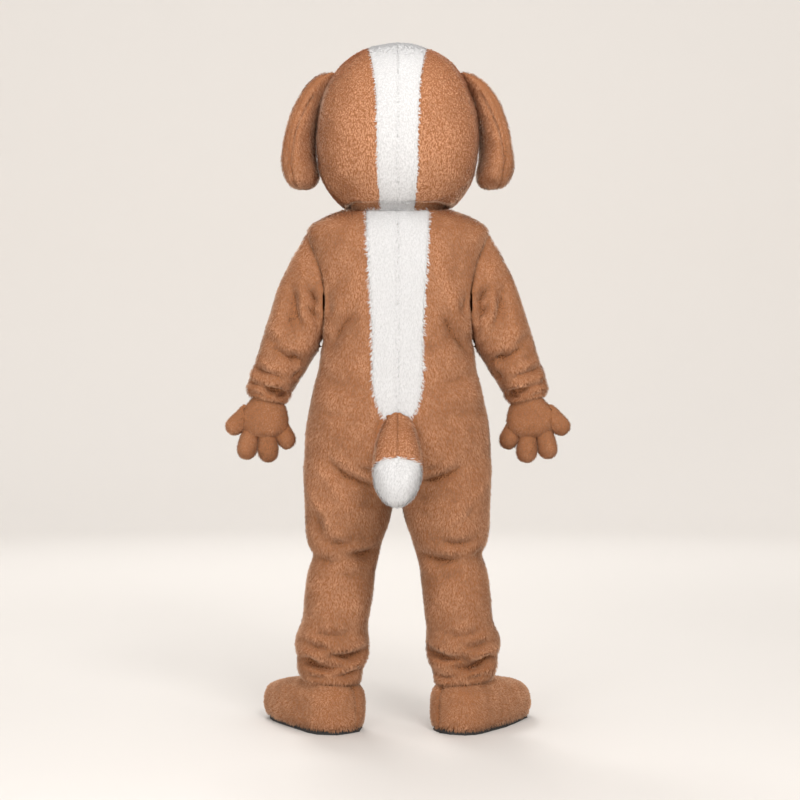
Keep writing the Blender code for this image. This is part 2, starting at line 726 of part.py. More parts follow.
def dome_mesh(dome, base, rings, around):
    """A closed pad that lies on a base surface and bulges forward."""
    front, back = [], []
    for r in range(rings, -1, -1):
        size = math.sin(math.pi / 2 * r / rings)
        lines = ([], [])
        for k in range(around):
            turn = 2 * math.pi * k / around
            x = dome["x"] + dome["half_x"] * size * math.cos(turn)
            z = dome["z"] + dome["half_z"] * size * math.sin(turn)
            y = base(x, z) - PAD_GAP
            lines[0].append(np.array((x, y - PAD_EDGE - dome_rise(dome, x, z), z)))
            lines[1].append(np.array((x, y, z)))
        front.append(lines[0])
        back.append(lines[1])
    return wall_mesh(front, back, closed=True, pole=True)


def make_face():
    """A plain padded muzzle, a nose and two eyes."""
    place("muzzle", *dome_mesh(MUZZLE, head_front_y, 5, 18), "white_plush")
    place("nose", *dome_mesh(NOSE, muzzle_front_y, 4, 14), "black_gloss")
    place_pair("eye_{}", *dome_mesh(EYE, head_front_y, 3, 12), "black_gloss")


# ---------------------------------------------------------------- ears

# Level sections of the left ear: the outer and inner reach in X and the half depth in Y.
EAR = Table("height outer inner depth", (
    (1.7400, 0.2050, 0.1720, 0.030),
    (1.7150, 0.2350, 0.1866, 0.050),
    (1.6800, 0.2575, 0.2035, 0.064),
    (1.6400, 0.2750, 0.2165, 0.074),
    (1.5950, 0.2870, 0.2270, 0.082),
    (1.5450, 0.2975, 0.2310, 0.087),
    (1.5000, 0.3035, 0.2240, 0.086),
    (1.4680, 0.2975, 0.2210, 0.076),
    (1.4480, 0.2860, 0.2340, 0.055),
))
EAR_TOP = (0.174, 0.0, 1.7510)
EAR_TIP = (0.2620, 0.0, 1.4370)
EAR_SQUARE = 2.3
EAR_ARC = 6             # steps round each half section
EAR_TURN = math.radians(13)


def ear_section(place_along, half):
    """Half of a level section, outer (1) or inner (-1), as a closed ring."""
    r = EAR.at(place_along)
    middle = (r["outer"] + r["inner"]) / 2
    thick = (r["outer"] - r["inner"]) / 2
    ring = []
    for k in range(EAR_ARC + 1):
        turn = math.pi * k / EAR_ARC
        side = half * max(thick * math.sin(turn) ** (2 / EAR_SQUARE), GAP / 2)
        ring.append((side, r["depth"] * power(math.cos(turn), 2 / EAR_SQUARE)))
    ring.append((half * GAP / 2, -r["depth"] * 0.4))
    ring.append((half * GAP / 2, r["depth"] * 0.4))
    cos, sin = math.cos(EAR_TURN), math.sin(EAR_TURN)
    return [np.array((middle + x * cos + y * sin, y * cos - x * sin, r["height"]))
            for x, y in ring]


def make_ears():
    """Padded flaps, each sewn from an outer and an inner panel."""
    for half, name in ((1, "ear_outer_{}"), (-1, "ear_inner_{}")):
        rings = [ear_section(k, half) for k in range(EAR.last + 1)]
        shift = np.array((half * GAP, 0.0, 0.0))
        points, faces = loft_mesh(rings, np.array(EAR_TOP) + shift, np.array(EAR_TIP) + shift)
        place_pair(name, points, faces, "brown_plush")


# ---------------------------------------------------------------- neck band

NECK = Table("height half_x half_y", (
    (1.404, 0.1260, 0.1120), (1.390, 0.1265, 0.1125), (1.384, 0.1200, 0.1000),
    (1.374, 0.1165, 0.0930), (1.362, 0.1150, 0.0900), (1.348, 0.1140, 0.0885),
))
NECK_WHITE = 20.0       # half angle of the white piece at the back
NECK_SEAM = 0.08        # angle left beside each seam


def neck_ring(row, start, end, count, sink):
    """Points round the neck, from one angle to another; 90 is straight back."""
    r = NECK.at(row)
    ring = []
    for turn in np.radians(np.linspace(start, end, count + 1)):
        ring.append(np.array(((r["half_x"] - sink) * power(math.cos(turn), 0.9),
                              (r["half_y"] - sink) * power(math.sin(turn), 0.9), r["height"])))
    return ring


def make_neck():
    """The cloth band that joins the head to the neckline of the suit."""
    beside = NECK_WHITE + NECK_SEAM
    spans = (("neck_white", 90 - NECK_WHITE, 90 + NECK_WHITE, 4, "white_plush"),
             ("neck_left", -90 + NECK_SEAM, 90 - beside, 9, "brown_plush"),
             ("neck_right", 90 + beside, 270 - NECK_SEAM, 9, "brown_plush"))
    for name, start, end, count, finish in spans:
        layers = [[neck_ring(k, start, end, count, sink) for k in range(NECK.last + 1)]
                  for sink in (0.0, CLOTH / 2)]
        place(name, *wall_mesh(*layers), finish)


# ---------------------------------------------------------------- gloves

# The hand shell from the wrist, inside the cuff, down to the knuckles.
HAND = Table("x z half_x half_y", (
    (0.3500, 0.9000, 0.0400, 0.0390),
    (0.3490, 0.8830, 0.0420, 0.0400),
    (0.3540, 0.8680, 0.0490, 0.0405),
    (0.3600, 0.8480, 0.0630, 0.0425),
    (0.3600, 0.8250, 0.0675, 0.0440),
    (0.3580, 0.8030, 0.0635, 0.0430),
    (0.3560, 0.7870, 0.0510, 0.0370),
    (0.3555, 0.7790, 0.0330, 0.0260),
))
HAND_TIP = (0.3553, 0.7760)
HAND_Y = -0.033
HAND_AROUND = 14
HAND_WALL = 0.007
DIGIT_AROUND = 10

# Each padded digit: its root, its end and its half widths at root and end.
DIGITS = Table("root_x root_z end_x end_z root end deep y", (
    (0.3960, 0.8450, 0.4380, 0.8060, 0.0250, 0.0245, 1.00, -0.030),
    (0.3905, 0.8040, 0.4055, 0.7425, 0.0190, 0.0254, 1.10, -0.034),
    (0.3530, 0.7960, 0.3472, 0.7355, 0.0180, 0.0262, 1.10, -0.034),
    (0.3190, 0.8090, 0.2995, 0.7680, 0.0205, 0.0236, 1.00, -0.040),
))


def hand_ring(row, sink, around=HAND_AROUND):
    """A level ring of the hand."""
    r = HAND.at(row)
    ring = []
    for k in range(around):
        turn = 2 * math.pi * k / around
        ring.append(np.array((r["x"] + (r["half_x"] - sink) * math.cos(turn),
                              HAND_Y + (r["half_y"] - sink) * math.sin(turn), r["z"])))
    return ring


def digit_mesh(r):
    """A padded digit: a round-ended plug along its own line."""
    root = np.array((r["root_x"], r["y"], r["root_z"]))
    end = np.array((r["end_x"], r["y"], r["end_z"]))
    along = unit(end - root)
    side = unit(np.cross(along, (0, 1, 0)))
    length = np.linalg.norm(end - root)
    rings = []
    profile = [(0.0, r["root"]), (0.35 * length, 0.55 * r["root"] + 0.45 * r["end"]),
               (0.75 * length, r["end"])]
    for turn in (0.0, 35.0, 62.0):
        profile.append((length + r["end"] * math.sin(math.radians(turn)),
                        r["end"] * math.cos(math.radians(turn))))
    for distance, half in profile:
        ring = []
        for k in range(DIGIT_AROUND):
            turn = 2 * math.pi * k / DIGIT_AROUND
            ring.append(root + along * distance + side * half * math.cos(turn)
                        + np.array((0, half * r["deep"] * math.sin(turn), 0)))
        rings.append(ring)
    return loft_mesh(rings, None, end + along * r["end"])


def make_gloves():
    """A hollow hand, open at the wrist, and four padded digits sewn to its end."""
    layers = []
    for sink in (0.0, HAND_WALL):
        grid = [hand_ring(k, sink) for k in range(HAND.last + 1)]
        for line in grid[-2:]:
            for point in line:
                point[2] += sink * 0.8
        grid.append([np.array((HAND_TIP[0], HAND_Y, HAND_TIP[1] + sink))] * HAND_AROUND)
        layers.append(grid)
    place_pair("glove_hand_{}", *wall_mesh(*layers, closed=True, pole=True), "brown_plush")
    for mirror, name in ((False, "left"), (True, "right")):
        rings = [hand_ring(k, -GAP) for k in range(HAND.last + 1)]
        tip = np.array((HAND_TIP[0], HAND_Y, HAND_TIP[1] - GAP))
        cutter = place("hand_cutter_" + name, *loft_mesh(rings, None, tip), "brown_plush", mirror)
        cutter.hide_render = True
        cutter.display_type = "WIRE"
        for k in range(DIGITS.last + 1):
            digit = place("glove_digit_{}_{}".format(name, k + 1), *digit_mesh(DIGITS.at(k)),
                          "brown_plush", mirror)
            cut = digit.modifiers.new("hand", "BOOLEAN")
            cut.operation = "DIFFERENCE"
            cut.object = cutter
            cut.solver = "EXACT"


# ---------------------------------------------------------------- tail

TAIL = Table("along half", (
    (0.000, 0.0340), (0.032, 0.0450), (0.072, 0.0555), (0.112, 0.0615), (0.146, 0.0630),
    (0.178, 0.0605), (0.206, 0.0530), (0.230, 0.0395), (0.245, 0.0220),
))
TAIL_END = 0.252
TAIL_GAP = 0.0012       # between the tail's root and the faceted back panels
TAIL_WHITE_ROW = 4      # the white tip starts at this row
TAIL_LEAN = math.radians(33)
TAIL_ROOT_HEIGHT = 0.826
TAIL_ARC = 6


def tail_section(place_along, shift=0.0):
    """Half of a section of the tail, in the left half, as a closed ring."""
    r = TAIL.at(place_along)
    root = np.array((0.0, TRUNK.by("height", TAIL_ROOT_HEIGHT)["back"] - 0.004, TAIL_ROOT_HEIGHT))
    along = np.array((0.0, math.sin(TAIL_LEAN), -math.cos(TAIL_LEAN)))
    up = np.array((0.0, math.cos(TAIL_LEAN), math.sin(TAIL_LEAN)))
    middle = root + along * (r["along"] + shift)
    ring = []
    for k in range(TAIL_ARC + 1):
        turn = math.pi * k / TAIL_ARC
        x = max(r["half"] * math.sin(turn), GAP / 2)
        ring.append(middle + up * r["half"] * 0.92 * math.cos(turn) + np.array((x, 0, 0)))
    ring.append(middle - up * r["half"] * 0.4 + np.array((GAP / 2, 0, 0)))
    ring.append(middle + up * r["half"] * 0.4 + np.array((GAP / 2, 0, 0)))
    return ring


def tail_on_back(ring):
    """A ring with the points that would sink into the suit moved out onto its back."""
    moved = []
    for point in ring:
        rise = max(body_outer_y(point[0], point[2]) + TAIL_GAP - point[1], 0.0)
        moved.append(point + np.array((0.0, rise, 0.0)))
    return moved


def body_outer_y(x, height):
    """Y of the back panel's outer side."""
    r = TRUNK.by("height", height)
    n = TRUNK_SQUARE
    return r["back"] * (1 - (abs(x) / r["half_width"]) ** n) ** (1 / n)


def make_tail():
    """A stuffed tail: brown root and white tip, each in two halves."""
    brown = [tail_on_back(tail_section(k)) for k in range(TAIL_WHITE_ROW)]
    brown.append(tail_section(TAIL_WHITE_ROW, -GAP))
    place_pair("tail_{}", *loft_mesh(brown), "brown_plush")
    white = [tail_section(k) for k in range(TAIL_WHITE_ROW, TAIL.last + 1)]
    end = np.mean(white[-1], axis=0)
    along = np.array((0.0, math.sin(TAIL_LEAN), -math.cos(TAIL_LEAN)))
    pole = end + along * (TAIL_END - TAIL.at(TAIL.last)["along"])
    pole[0] = GAP
    place_pair("tail_tip_{}", *loft_mesh(white, None, pole), "white_plush")


# ---------------------------------------------------------------- boots

# Level rings of the boot: the reach of the toe and the heel from the ankle's middle, and
# the half width.
BOOT = Table("height toe heel half", (
    (0.0113, 0.2600, 0.0880, 0.0820),
    (0.0300, 0.2720, 0.0920, 0.0870),
    (0.0550, 0.2700, 0.0920, 0.0880),
    (0.0800, 0.2600, 0.0900, 0.0870),
    (0.0990, 0.2340, 0.0870, 0.0840),
    (0.1120, 0.1930, 0.0820, 0.0780),
    (0.1200, 0.1500, 0.0755, 0.0715),
    (0.1280, 0.1130, 0.0725, 0.0695),
    (0.1355, 0.0850, 0.0715, 0.0695),
    (0.1405, 0.0700, 0.0695, 0.0675),
    (0.1560, 0.0660, 0.0665, 0.0655),
))
ANKLE = (0.177, 0.012)
TOE_OUT = math.radians(38)
TOE_SQUARE = 2.7
BOOT_AROUND = 16
BOOT_BACK_SEAM = -13.0      # angle of the back seam from the line of the foot
SOLE_INSET = 0.002


def boot_point(row, angle, sink):
    """A point of a boot ring; angle 0 is the heel, 180 the toe."""
    r = BOOT.at(row)
    turn = math.radians(angle)
    toe = math.cos(turn) < 0
    reach = (r["toe"] if toe else r["heel"]) - sink
    square = TOE_SQUARE if toe else 2.2
    forward = -reach * power(math.cos(turn), 2 / square)
    sideways = (r["half"] - sink) * power(math.sin(turn), 2 / square)
    ahead = np.array((math.sin(TOE_OUT), -math.cos(TOE_OUT)))
    beside = np.array((math.cos(TOE_OUT), math.sin(TOE_OUT)))
    x, y = np.array(ANKLE) + ahead * forward + beside * sideways
    return np.array((x, y, r["height"]))


def boot_inner(row, angle):
    """The inner side of the boot's foam: also lower, where the toe slopes."""
    point = boot_point(row, angle, FOAM)
    slope = 1.0 if 3 <= row <= 8 and math.cos(math.radians(angle)) < -0.2 else 0.0
    point[2] -= slope * FOAM * 0.6
    return point


def make_boots():
    """Foam boots in two halves, sewn at the heel and over the toe, on a thin sole."""
    seam = 0.12
    spans = (("boot_outer_{}", BOOT_BACK_SEAM + seam, 180 - seam),
             ("boot_inner_{}", 180 + seam, 360 + BOOT_BACK_SEAM - seam))
    for name, start, end in spans:
        angles = np.linspace(start, end, BOOT_AROUND // 2 + 1)
        outer = [[boot_point(k, a, 0.0) for a in angles] for k in range(BOOT.last + 1)]
        inner = [[boot_inner(k, a) for a in angles] for k in range(BOOT.last + 1)]
        place_pair(name, *wall_mesh(outer, inner), "brown_plush")
    rings = []
    for height in (0.0, SOLE):
        ring = [boot_point(0, 360 * k / 28, SOLE_INSET) for k in range(28)]
        rings.append([np.array((p[0], p[1], height)) for p in ring])
    place_pair("sole_{}", *loft_mesh(rings), "black_rubber")


def main():
    """Clear the scene and make every piece."""
    for old in list(bpy.data.objects):
        bpy.data.objects.remove(old)
    make_body_panels()
    make_back_stripe()
    make_sleeves()
    make_head()
    make_face()
    make_ears()
    make_neck()
    make_gloves()
    make_tail()
    make_boots()


main()
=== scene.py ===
# %% [markdown]
# # A dog mascot costume in plush
# The costume is a hollow suit that a person wears: a foam head with drooping ears, a body
# suit with sleeves, gloves, a stuffed tail and foam boots. It is all covered in short
# plush, brown with a white stripe from the brow to the seat. The cut pieces come in as
# plain solids. This lesson gives each one the form of sewn cloth, presses the folds into
# it, and then plants its pile, strand by strand, so that edges and seams look furry.

# %% Load the cut pieces
import math

import bmesh
import bpy
import numpy as np
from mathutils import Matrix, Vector
from mathutils.bvhtree import BVHTree
from mathutils.kdtree import KDTree


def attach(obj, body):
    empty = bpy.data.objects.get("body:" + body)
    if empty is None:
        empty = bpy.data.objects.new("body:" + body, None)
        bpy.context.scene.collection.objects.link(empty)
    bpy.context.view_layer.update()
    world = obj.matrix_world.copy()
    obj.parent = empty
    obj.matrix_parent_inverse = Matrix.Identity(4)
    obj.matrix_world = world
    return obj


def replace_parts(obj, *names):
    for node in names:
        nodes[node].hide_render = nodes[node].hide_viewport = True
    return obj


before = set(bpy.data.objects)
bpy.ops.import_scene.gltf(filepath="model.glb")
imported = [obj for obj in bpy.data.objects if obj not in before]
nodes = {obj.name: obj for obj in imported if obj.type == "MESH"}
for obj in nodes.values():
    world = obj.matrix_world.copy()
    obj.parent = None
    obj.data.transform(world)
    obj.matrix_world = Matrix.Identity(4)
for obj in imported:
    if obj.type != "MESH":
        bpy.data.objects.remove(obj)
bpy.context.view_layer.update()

HOLD_HEIGHT = 1.360  # of the origin above the floor, in metres
FLOOR = -HOLD_HEIGHT
MM = 0.001

# %% [markdown]
# ## Camera
# The costume is seen from behind, from a little over four metres, with the camera level
# and at the height of the hips. A long lens keeps the shape free of distortion.

# %% Camera
def add_object(name, data):
    made = bpy.data.objects.new(name, data)
    bpy.context.scene.collection.objects.link(made)
    return made


CAMERA_DISTANCE = 4.2
CAMERA_HEIGHT = 0.875
LENS, SENSOR = 70.8, 36  # in millimetres
SIDE_SHIFT = 0.0031  # of the lens, as a share of the frame's width
camera_data = bpy.data.cameras.new("camera")
camera_data.lens = LENS
camera_data.sensor_width = SENSOR
camera_data.shift_x = SIDE_SHIFT
camera = add_object("camera", camera_data)
camera.location = (0, CAMERA_DISTANCE, FLOOR + CAMERA_HEIGHT)
camera.rotation_euler = (math.radians(90), 0, math.radians(180))
bpy.context.scene.camera = camera
bpy.context.scene.view_settings.view_transform = "Standard"
print("camera", [round(v, 3) for v in camera.location])

# %% [markdown]
# ## Floor and light
# The floor is a pale round sweep that bends up into a wall, so it has no edge from any
# side: half its outline is drawn once and spun round. Its paper is a little paler far out,
# where less light falls. Two large soft lights stand on the camera's side, one high and
# one lower, a third lights the front, others the crown and the backdrop. Much of the
# light is an even glow from all round, as in a studio with pale walls, so that shadows
# are weak.

# %% Nodes and materials
MIX_A, MIX_B, MIX_RESULT = 6, 7, 2  # the colour sockets of a Mix node


def new_nodes(tree, *kinds):
    return [tree.nodes.new(f"ShaderNode{kind}") for kind in kinds]


def set_inputs(node, values):
    for socket, value in values.items():
        node.inputs[socket].default_value = value


def link_nodes(tree, *links):
    """Each link: a node and its output, and the node and input that take it."""
    for node, output, taker, entry in links:
        tree.links.new(node.outputs[output], taker.inputs[entry])


def new_material(name, values):
    """A material, its node tree and its shader with some inputs set."""
    made = bpy.data.materials.new(name)
    made.use_nodes = True
    shader = made.node_tree.nodes["Principled BSDF"]
    set_inputs(shader, values)
    return made, made.node_tree, shader


PAPER, tree, shader = new_material("studio_paper", {"Roughness": 0.8})
print("made", PAPER.name)

# %% Studio paper
PAPER_NEAR, PAPER_FAR = (0.675, 0.648, 0.622, 1), (0.87, 0.842, 0.814, 1)
PAPER_REACH = (2.6, 6.0)  # the paper changes between these distances, in metres
place, far, reach, tone = new_nodes(tree, "TexCoord", "VectorMath", "MapRange", "Mix")
far.operation, tone.data_type = "LENGTH", "RGBA"
reach.interpolation_type = "SMOOTHSTEP"
set_inputs(reach, {"From Min": PAPER_REACH[0], "From Max": PAPER_REACH[1]})
set_inputs(tone, {MIX_A: PAPER_NEAR, MIX_B: PAPER_FAR})
link_nodes(tree, (place, "Object", far, 0),
           (far, "Value", reach, "Value"),
           (reach, "Result", tone, "Factor"),
           (tone, MIX_RESULT, shader, "Base Color"))
print("paper", PAPER_NEAR, PAPER_FAR)

# %% Floor and backdrop
SWEEP_RADIUS, SWEEP_BEND, SWEEP_TOP = 6.5, 2.2, 6.0
floor_shape = bmesh.new()
outline = [(0, 0), (1, 0), (3, 0), (SWEEP_RADIUS, 0)]
outline += [(SWEEP_RADIUS + SWEEP_BEND * math.sin(math.radians(turn)),
             SWEEP_BEND * (1 - math.cos(math.radians(turn)))) for turn in range(6, 91, 6)]
outline.append((SWEEP_RADIUS + SWEEP_BEND, SWEEP_TOP))
corners = [floor_shape.verts.new((out, 0, FLOOR + up)) for out, up in outline]
edges = [floor_shape.edges.new(pair) for pair in zip(corners, corners[1:])]
bmesh.ops.spin(floor_shape, geom=corners + edges, cent=(0, 0, 0), axis=(0, 0, 1),
               angle=math.tau, steps=96)
bmesh.ops.remove_doubles(floor_shape, verts=floor_shape.verts, dist=1e-4)
bmesh.ops.recalc_face_normals(floor_shape, faces=floor_shape.faces)
floor_mesh = bpy.data.meshes.new("studio_floor")
floor_shape.to_mesh(floor_mesh)
floor_shape.free()
floor_mesh.shade_smooth()
floor = add_object("studio_floor", floor_mesh)
floor.data.materials.append(PAPER)
print("floor of", len(floor_mesh.polygons), "faces")

# %% Lights
LIGHT_COLOUR = (1.0, 0.985, 0.965)
GLOW = 0.80  # strength of the even light from all round
world = bpy.data.worlds.new("studio")
bpy.context.scene.world = world
world.use_nodes = True
set_inputs(world.node_tree.nodes["Background"],
           {"Color": (*LIGHT_COLOUR, 1), "Strength": GLOW})

# Each light: place, what it is aimed at, size in metres and power in watts.
MIDDLE, HEAD, BACKDROP = (0, 0, -0.4), (0, 0, 0.1), (0, -8, -0.2)
LIGHTS = {
    "key": ((-1.1, 2.8, 1.8), HEAD, 1.1, 77),
    "fill": ((1.4, 3.2, -0.1), HEAD, 1.5, 45),
    "front": ((1.0, -3.0, 2.8), MIDDLE, 1.5, 85),
    "top": ((0.0, 0.4, 3.4), MIDDLE, 1.2, 15),
    "backdrop": ((0.0, -2.6, 2.8), BACKDROP, 2.5, 45),
}
for name, (place, aim, size, power) in LIGHTS.items():
    light_data = bpy.data.lights.new(name, "AREA")
    light_data.size = size
    light_data.energy = power
    light_data.color = LIGHT_COLOUR
    light = add_object(name, light_data)
    light.location = place
    light.rotation_mode = "QUATERNION"
    light.rotation_quaternion = (Vector(aim) - light.location).to_track_quat("-Z", "Y")
print(len(LIGHTS), "soft lights")

# %% [markdown]
# ## Finishes
# Plush is dense pile on a knitted backing. Its colour comes from three things: the strand is
# darker at its root, as painted shade where little light reaches, every tuft differs a little in
# tone from the next, and the whole cloth wanders slowly between lighter and darker where the pile
# has been brushed one way or the other. One node group mixes these three, and both colours of
# plush use it with their own values. It reads two values that every strand carries: `rise`, from 0
# at the root to 1 at the tip, and `tuft`, its tone, which also holds painted shade in folds and at
# the trouser hems. Plush has no gloss, but its fine tips catch light at the edge of a form, which
# sheen stands for.


# %% The shared pile colour
def pile_group():
    group = bpy.data.node_groups.new("pile_colour", "ShaderNodeTree")
    for name, way, kind in (("Root", "INPUT", "Color"), ("Dark", "INPUT", "Color"),
                            ("Light", "INPUT", "Color"), ("Drift", "INPUT", "Float"),
                            ("Color", "OUTPUT", "Color")):
        group.interface.new_socket(name, in_out=way, socket_type=f"NodeSocket{kind}")
    given, made = group.nodes.new("NodeGroupInput"), group.nodes.new("NodeGroupOutput")
    rise, tuft, place, slow = new_nodes(group, "Attribute", "Attribute", "TexCoord", "TexNoise")
    centred, drift, tone, depth, shade = new_nodes(group, "Math", "Math", "Mix", "MapRange", "Mix")
    rise.attribute_name, tuft.attribute_name = "rise", "tuft"
    set_inputs(slow, {"Scale": 13, "Detail": 3})
    centred.operation, drift.operation = "SUBTRACT", "MULTIPLY_ADD"
    set_inputs(centred, {1: 0.5})
    tone.data_type = shade.data_type = "RGBA"
    depth.interpolation_type = "SMOOTHSTEP"
    set_inputs(depth, {"From Max": 0.75})  # above this a strand is in full light
    link_nodes(
        group,
        (place, "Object", slow, "Vector"),
        (slow, "Fac", centred, 0),
        (centred, 0, drift, 0),
        (given, "Drift", drift, 1),
        (tuft, "Fac", drift, 2),
        (drift, 0, tone, "Factor"),
        (given, "Dark", tone, MIX_A),
        (given, "Light", tone, MIX_B),
        # painted shade: the strand darkens towards its root
        (rise, "Fac", depth, "Value"),
        (depth, "Result", shade, "Factor"),
        (given, "Root", shade, MIX_A),
        (tone, MIX_RESULT, shade, MIX_B),
        (shade, MIX_RESULT, made, "Color"),
    )
    return group


PILE_COLOUR = pile_group()
print("pile colour group,", len(PILE_COLOUR.nodes), "nodes")


# %% Plush, and the ground that shows between its strands
def pile_material(name, root, dark, light, drift, sheen, sheen_tint):
    made, tree, shader = new_material(name, {
        "Roughness": 1, "Specular IOR Level": 0, "Sheen Weight": sheen,
        "Sheen Roughness": 0.4, "Sheen Tint": (*sheen_tint, 1)})
    colour, = new_nodes(tree, "Group")
    colour.node_tree = PILE_COLOUR
    set_inputs(colour, {"Root": (*root, 1), "Dark": (*dark, 1), "Light": (*light, 1),
                        "Drift": drift})
    link_nodes(tree, (colour, "Color", shader, "Base Color"))
    return made


def ground_material(name, colour, deep):
    """The pile's dense underside: fine mottled fluff, as bump and tone. In its hollows the colour
    falls to the share `deep`, as painted shade."""
    made, tree, shader = new_material(name, {"Roughness": 0.95, "Specular IOR Level": 0.1})
    place, fluff, tone, bump = new_nodes(tree, "TexCoord", "TexNoise", "Mix", "Bump")
    tone.data_type = "RGBA"
    set_inputs(fluff, {"Scale": 260, "Detail": 3})
    # painted shade: the hollows of the fluff are darker
    set_inputs(tone, {MIX_A: (*[c * deep for c in colour], 1), MIX_B: (*colour, 1)})
    set_inputs(bump, {"Distance": 2 * MM, "Strength": 0.8})
    link_nodes(
        tree,
        (place, "Object", fluff, "Vector"),
        (fluff, "Fac", tone, "Factor"),
        (tone, MIX_RESULT, shader, "Base Color"),
        (fluff, "Fac", bump, "Height"),
        (bump, "Normal", shader, "Normal"),
    )
    return made


FINISHES = {
    "brown_plush": (
        pile_material("brown_pile", (0.31, 0.13, 0.060), (0.08, 0.027, 0.010),
                      (0.60, 0.315, 0.181), 0.8, 0.6, (1.0, 0.73, 0.54)),
        ground_material("brown_ground", (0.42, 0.175, 0.078), 0.5)),
    "white_plush": (
        pile_material("white_pile", (0.60, 0.598, 0.60), (0.53, 0.528, 0.53),
                      (0.68, 0.677, 0.68), 0.3, 0.15, (1, 1, 1)),
        ground_material("white_ground", (0.63, 0.627, 0.63), 0.75)),
}
print(len(FINISHES), "colours of plush")

# %% [markdown]
# ## Backing, rubber and gloss
# Inside, the plush shows its knitted back, made here from two crossed waves. The soles
# are matt black rubber with a coarse grain. Nose and eyes are moulded parts with a clear
# coat over near black. A little grain in gloss and height keeps them from looking wet.

# %% Backing
BACKING, tree, shader = new_material("knitted_backing", {
    "Base Color": (0.30, 0.17, 0.10, 1), "Roughness": 0.9})
place, rows, wales, mixed, bump = new_nodes(tree, "TexCoord", "TexWave", "TexWave", "Math", "Bump")
rows.bands_direction, wales.bands_direction = "Z", "DIAGONAL"
for wave in (rows, wales):
    set_inputs(wave, {"Scale": 160, "Distortion": 0.6})
mixed.operation = "MULTIPLY"
set_inputs(bump, {"Distance": 0.5 * MM, "Strength": 0.6})
link_nodes(
    tree,
    (place, "Object", rows, "Vector"),
    (place, "Object", wales, "Vector"),
    (rows, "Fac", mixed, 0),
    (wales, "Fac", mixed, 1),
    (mixed, 0, bump, "Height"),
    (bump, "Normal", shader, "Normal"),
)
print("backing of", len(tree.nodes), "nodes")


# %% Rubber and gloss
def grained_material(name, colour, roughness, scale, depth, coat):
    """A moulded surface with a fine grain in its gloss and its height."""
    made, tree, shader = new_material(name, {
        "Base Color": (*colour, 1), "Coat Weight": coat})
    place, grain, gloss, bump = new_nodes(tree, "TexCoord", "TexNoise", "MapRange", "Bump")
    set_inputs(grain, {"Scale": scale, "Detail": 4})
    set_inputs(gloss, {"To Min": roughness * 0.8, "To Max": min(roughness * 1.3, 1)})
    set_inputs(bump, {"Distance": depth, "Strength": 0.5})
    link_nodes(
        tree,
        (place, "Object", grain, "Vector"),
        (grain, "Fac", gloss, "Value"),
        (gloss, "Result", shader, "Roughness"),
        (grain, "Fac", bump, "Height"),
        (bump, "Normal", shader, "Normal"),
    )
    return made


RUBBER = grained_material("sole_rubber", (0.022, 0.021, 0.020), 0.75, 420, 0.4 * MM, 0.0)
GLOSS = grained_material("moulded_gloss", (0.012, 0.011, 0.011), 0.16, 60, 0.1 * MM, 0.6)
print(RUBBER.name, "and", GLOSS.name)

# %% [markdown]
# ## From cut solids to sewn cloth
# A cut piece comes in as a closed wall of flat triangles: an outer side, an inner side and
# a narrow rim between them. To turn it into cloth, its faces are first sorted into those
# three sides, because only the outer one carries pile. A face belongs to the rim, or lies
# against a neighbour, where a line from it meets another piece at once, or where a line
# back into the wall runs on far further than the wall is thick. What is left falls into
# islands, and an island is outer cloth where some of its faces look out into free space,
# because every face of a lining looks at another piece across the hollow.
# Creased edges then keep the rim crisp while Subdivision Surface rounds everything else.

# %% One search tree over all pieces
def merged_copy(name):
    shape = bmesh.new()
    shape.from_mesh(nodes[name].data)
    bmesh.ops.remove_doubles(shape, verts=shape.verts, dist=1e-5)
    shape.normal_update()
    return shape


corners, faces, owners = [], [], []  # an owner is the piece that a face is from
for name in sorted(nodes):
    shape = merged_copy(name)
    first = len(corners)
    corners += [v.co.copy() for v in shape.verts]
    faces += [[first + v.index for v in f.verts] for f in shape.faces]
    owners += [name] * len(shape.faces)
    shape.free()
every_piece = BVHTree.FromPolygons(corners, faces)
print(len(owners), "faces in the search tree")

# %% Which side of a piece a face lies on
COVER, LINING, RIM = 0, 1, 2  # also the slots of a piece's materials
TOUCHING = 2.5 * MM  # a neighbour this near closes a face off
ALONG = 2.4  # a line longer than this many thicknesses runs along the wall
SHARP = math.radians(62)  # islands end at an edge this sharp
LOOKING_OUT = 0.04  # the least share of an outer island's faces that look out
SMALLEST = 5  # an island of no more faces than this counts as rim


def islands(faces):
    """Groups of these faces that hang together by their edges."""
    left, groups = set(faces), []
    while left:
        group, front = [], [left.pop()]
        while front:
            face = front.pop()
            group.append(face)
            for edge in face.edges:
                if edge.calc_face_angle(0) > SHARP:
                    continue
                for other in edge.link_faces:
                    if other in left:
                        left.remove(other)
                        front.append(other)
        groups.append(group)
    return sorted(groups, key=lambda g: -sum(f.calc_area() for f in g))


def sort_sides(shape, name, wall):
    """Marks each face as cover, lining or rim. A stuffed piece has no wall and no lining."""
    own = BVHTree.FromBMesh(shape)
    open_faces = []
    for face in shape.faces:
        middle, out = face.calc_center_median(), face.normal
        face.material_index = RIM
        _, _, hit, gap = every_piece.ray_cast(middle + out * 1e-5, out, TOUCHING)
        if hit is not None and owners[hit] != name:
            continue
        if wall:
            _, _, _, depth = own.ray_cast(middle - out * 1e-5, -out, 1.0)
            if depth is None or depth > ALONG * wall:
                continue
        open_faces.append(face)
    for group in islands(open_faces):
        middles = [(face.calc_center_median(), face.normal) for face in group]
        free = sum(every_piece.ray_cast(m + n * 1e-4, n, 2.0)[2] is None for m, n in middles)
        outer = free > LOOKING_OUT * len(group) or not wall
        for face in group:
            face.material_index = (COVER if outer else LINING) if len(group) > SMALLEST else RIM


trial = merged_copy("sleeve_left")
sort_sides(trial, "sleeve_left", 6 * MM)
print("outer faces of a sleeve:", sum(face.material_index == COVER for face in trial.faces))
trial.free()


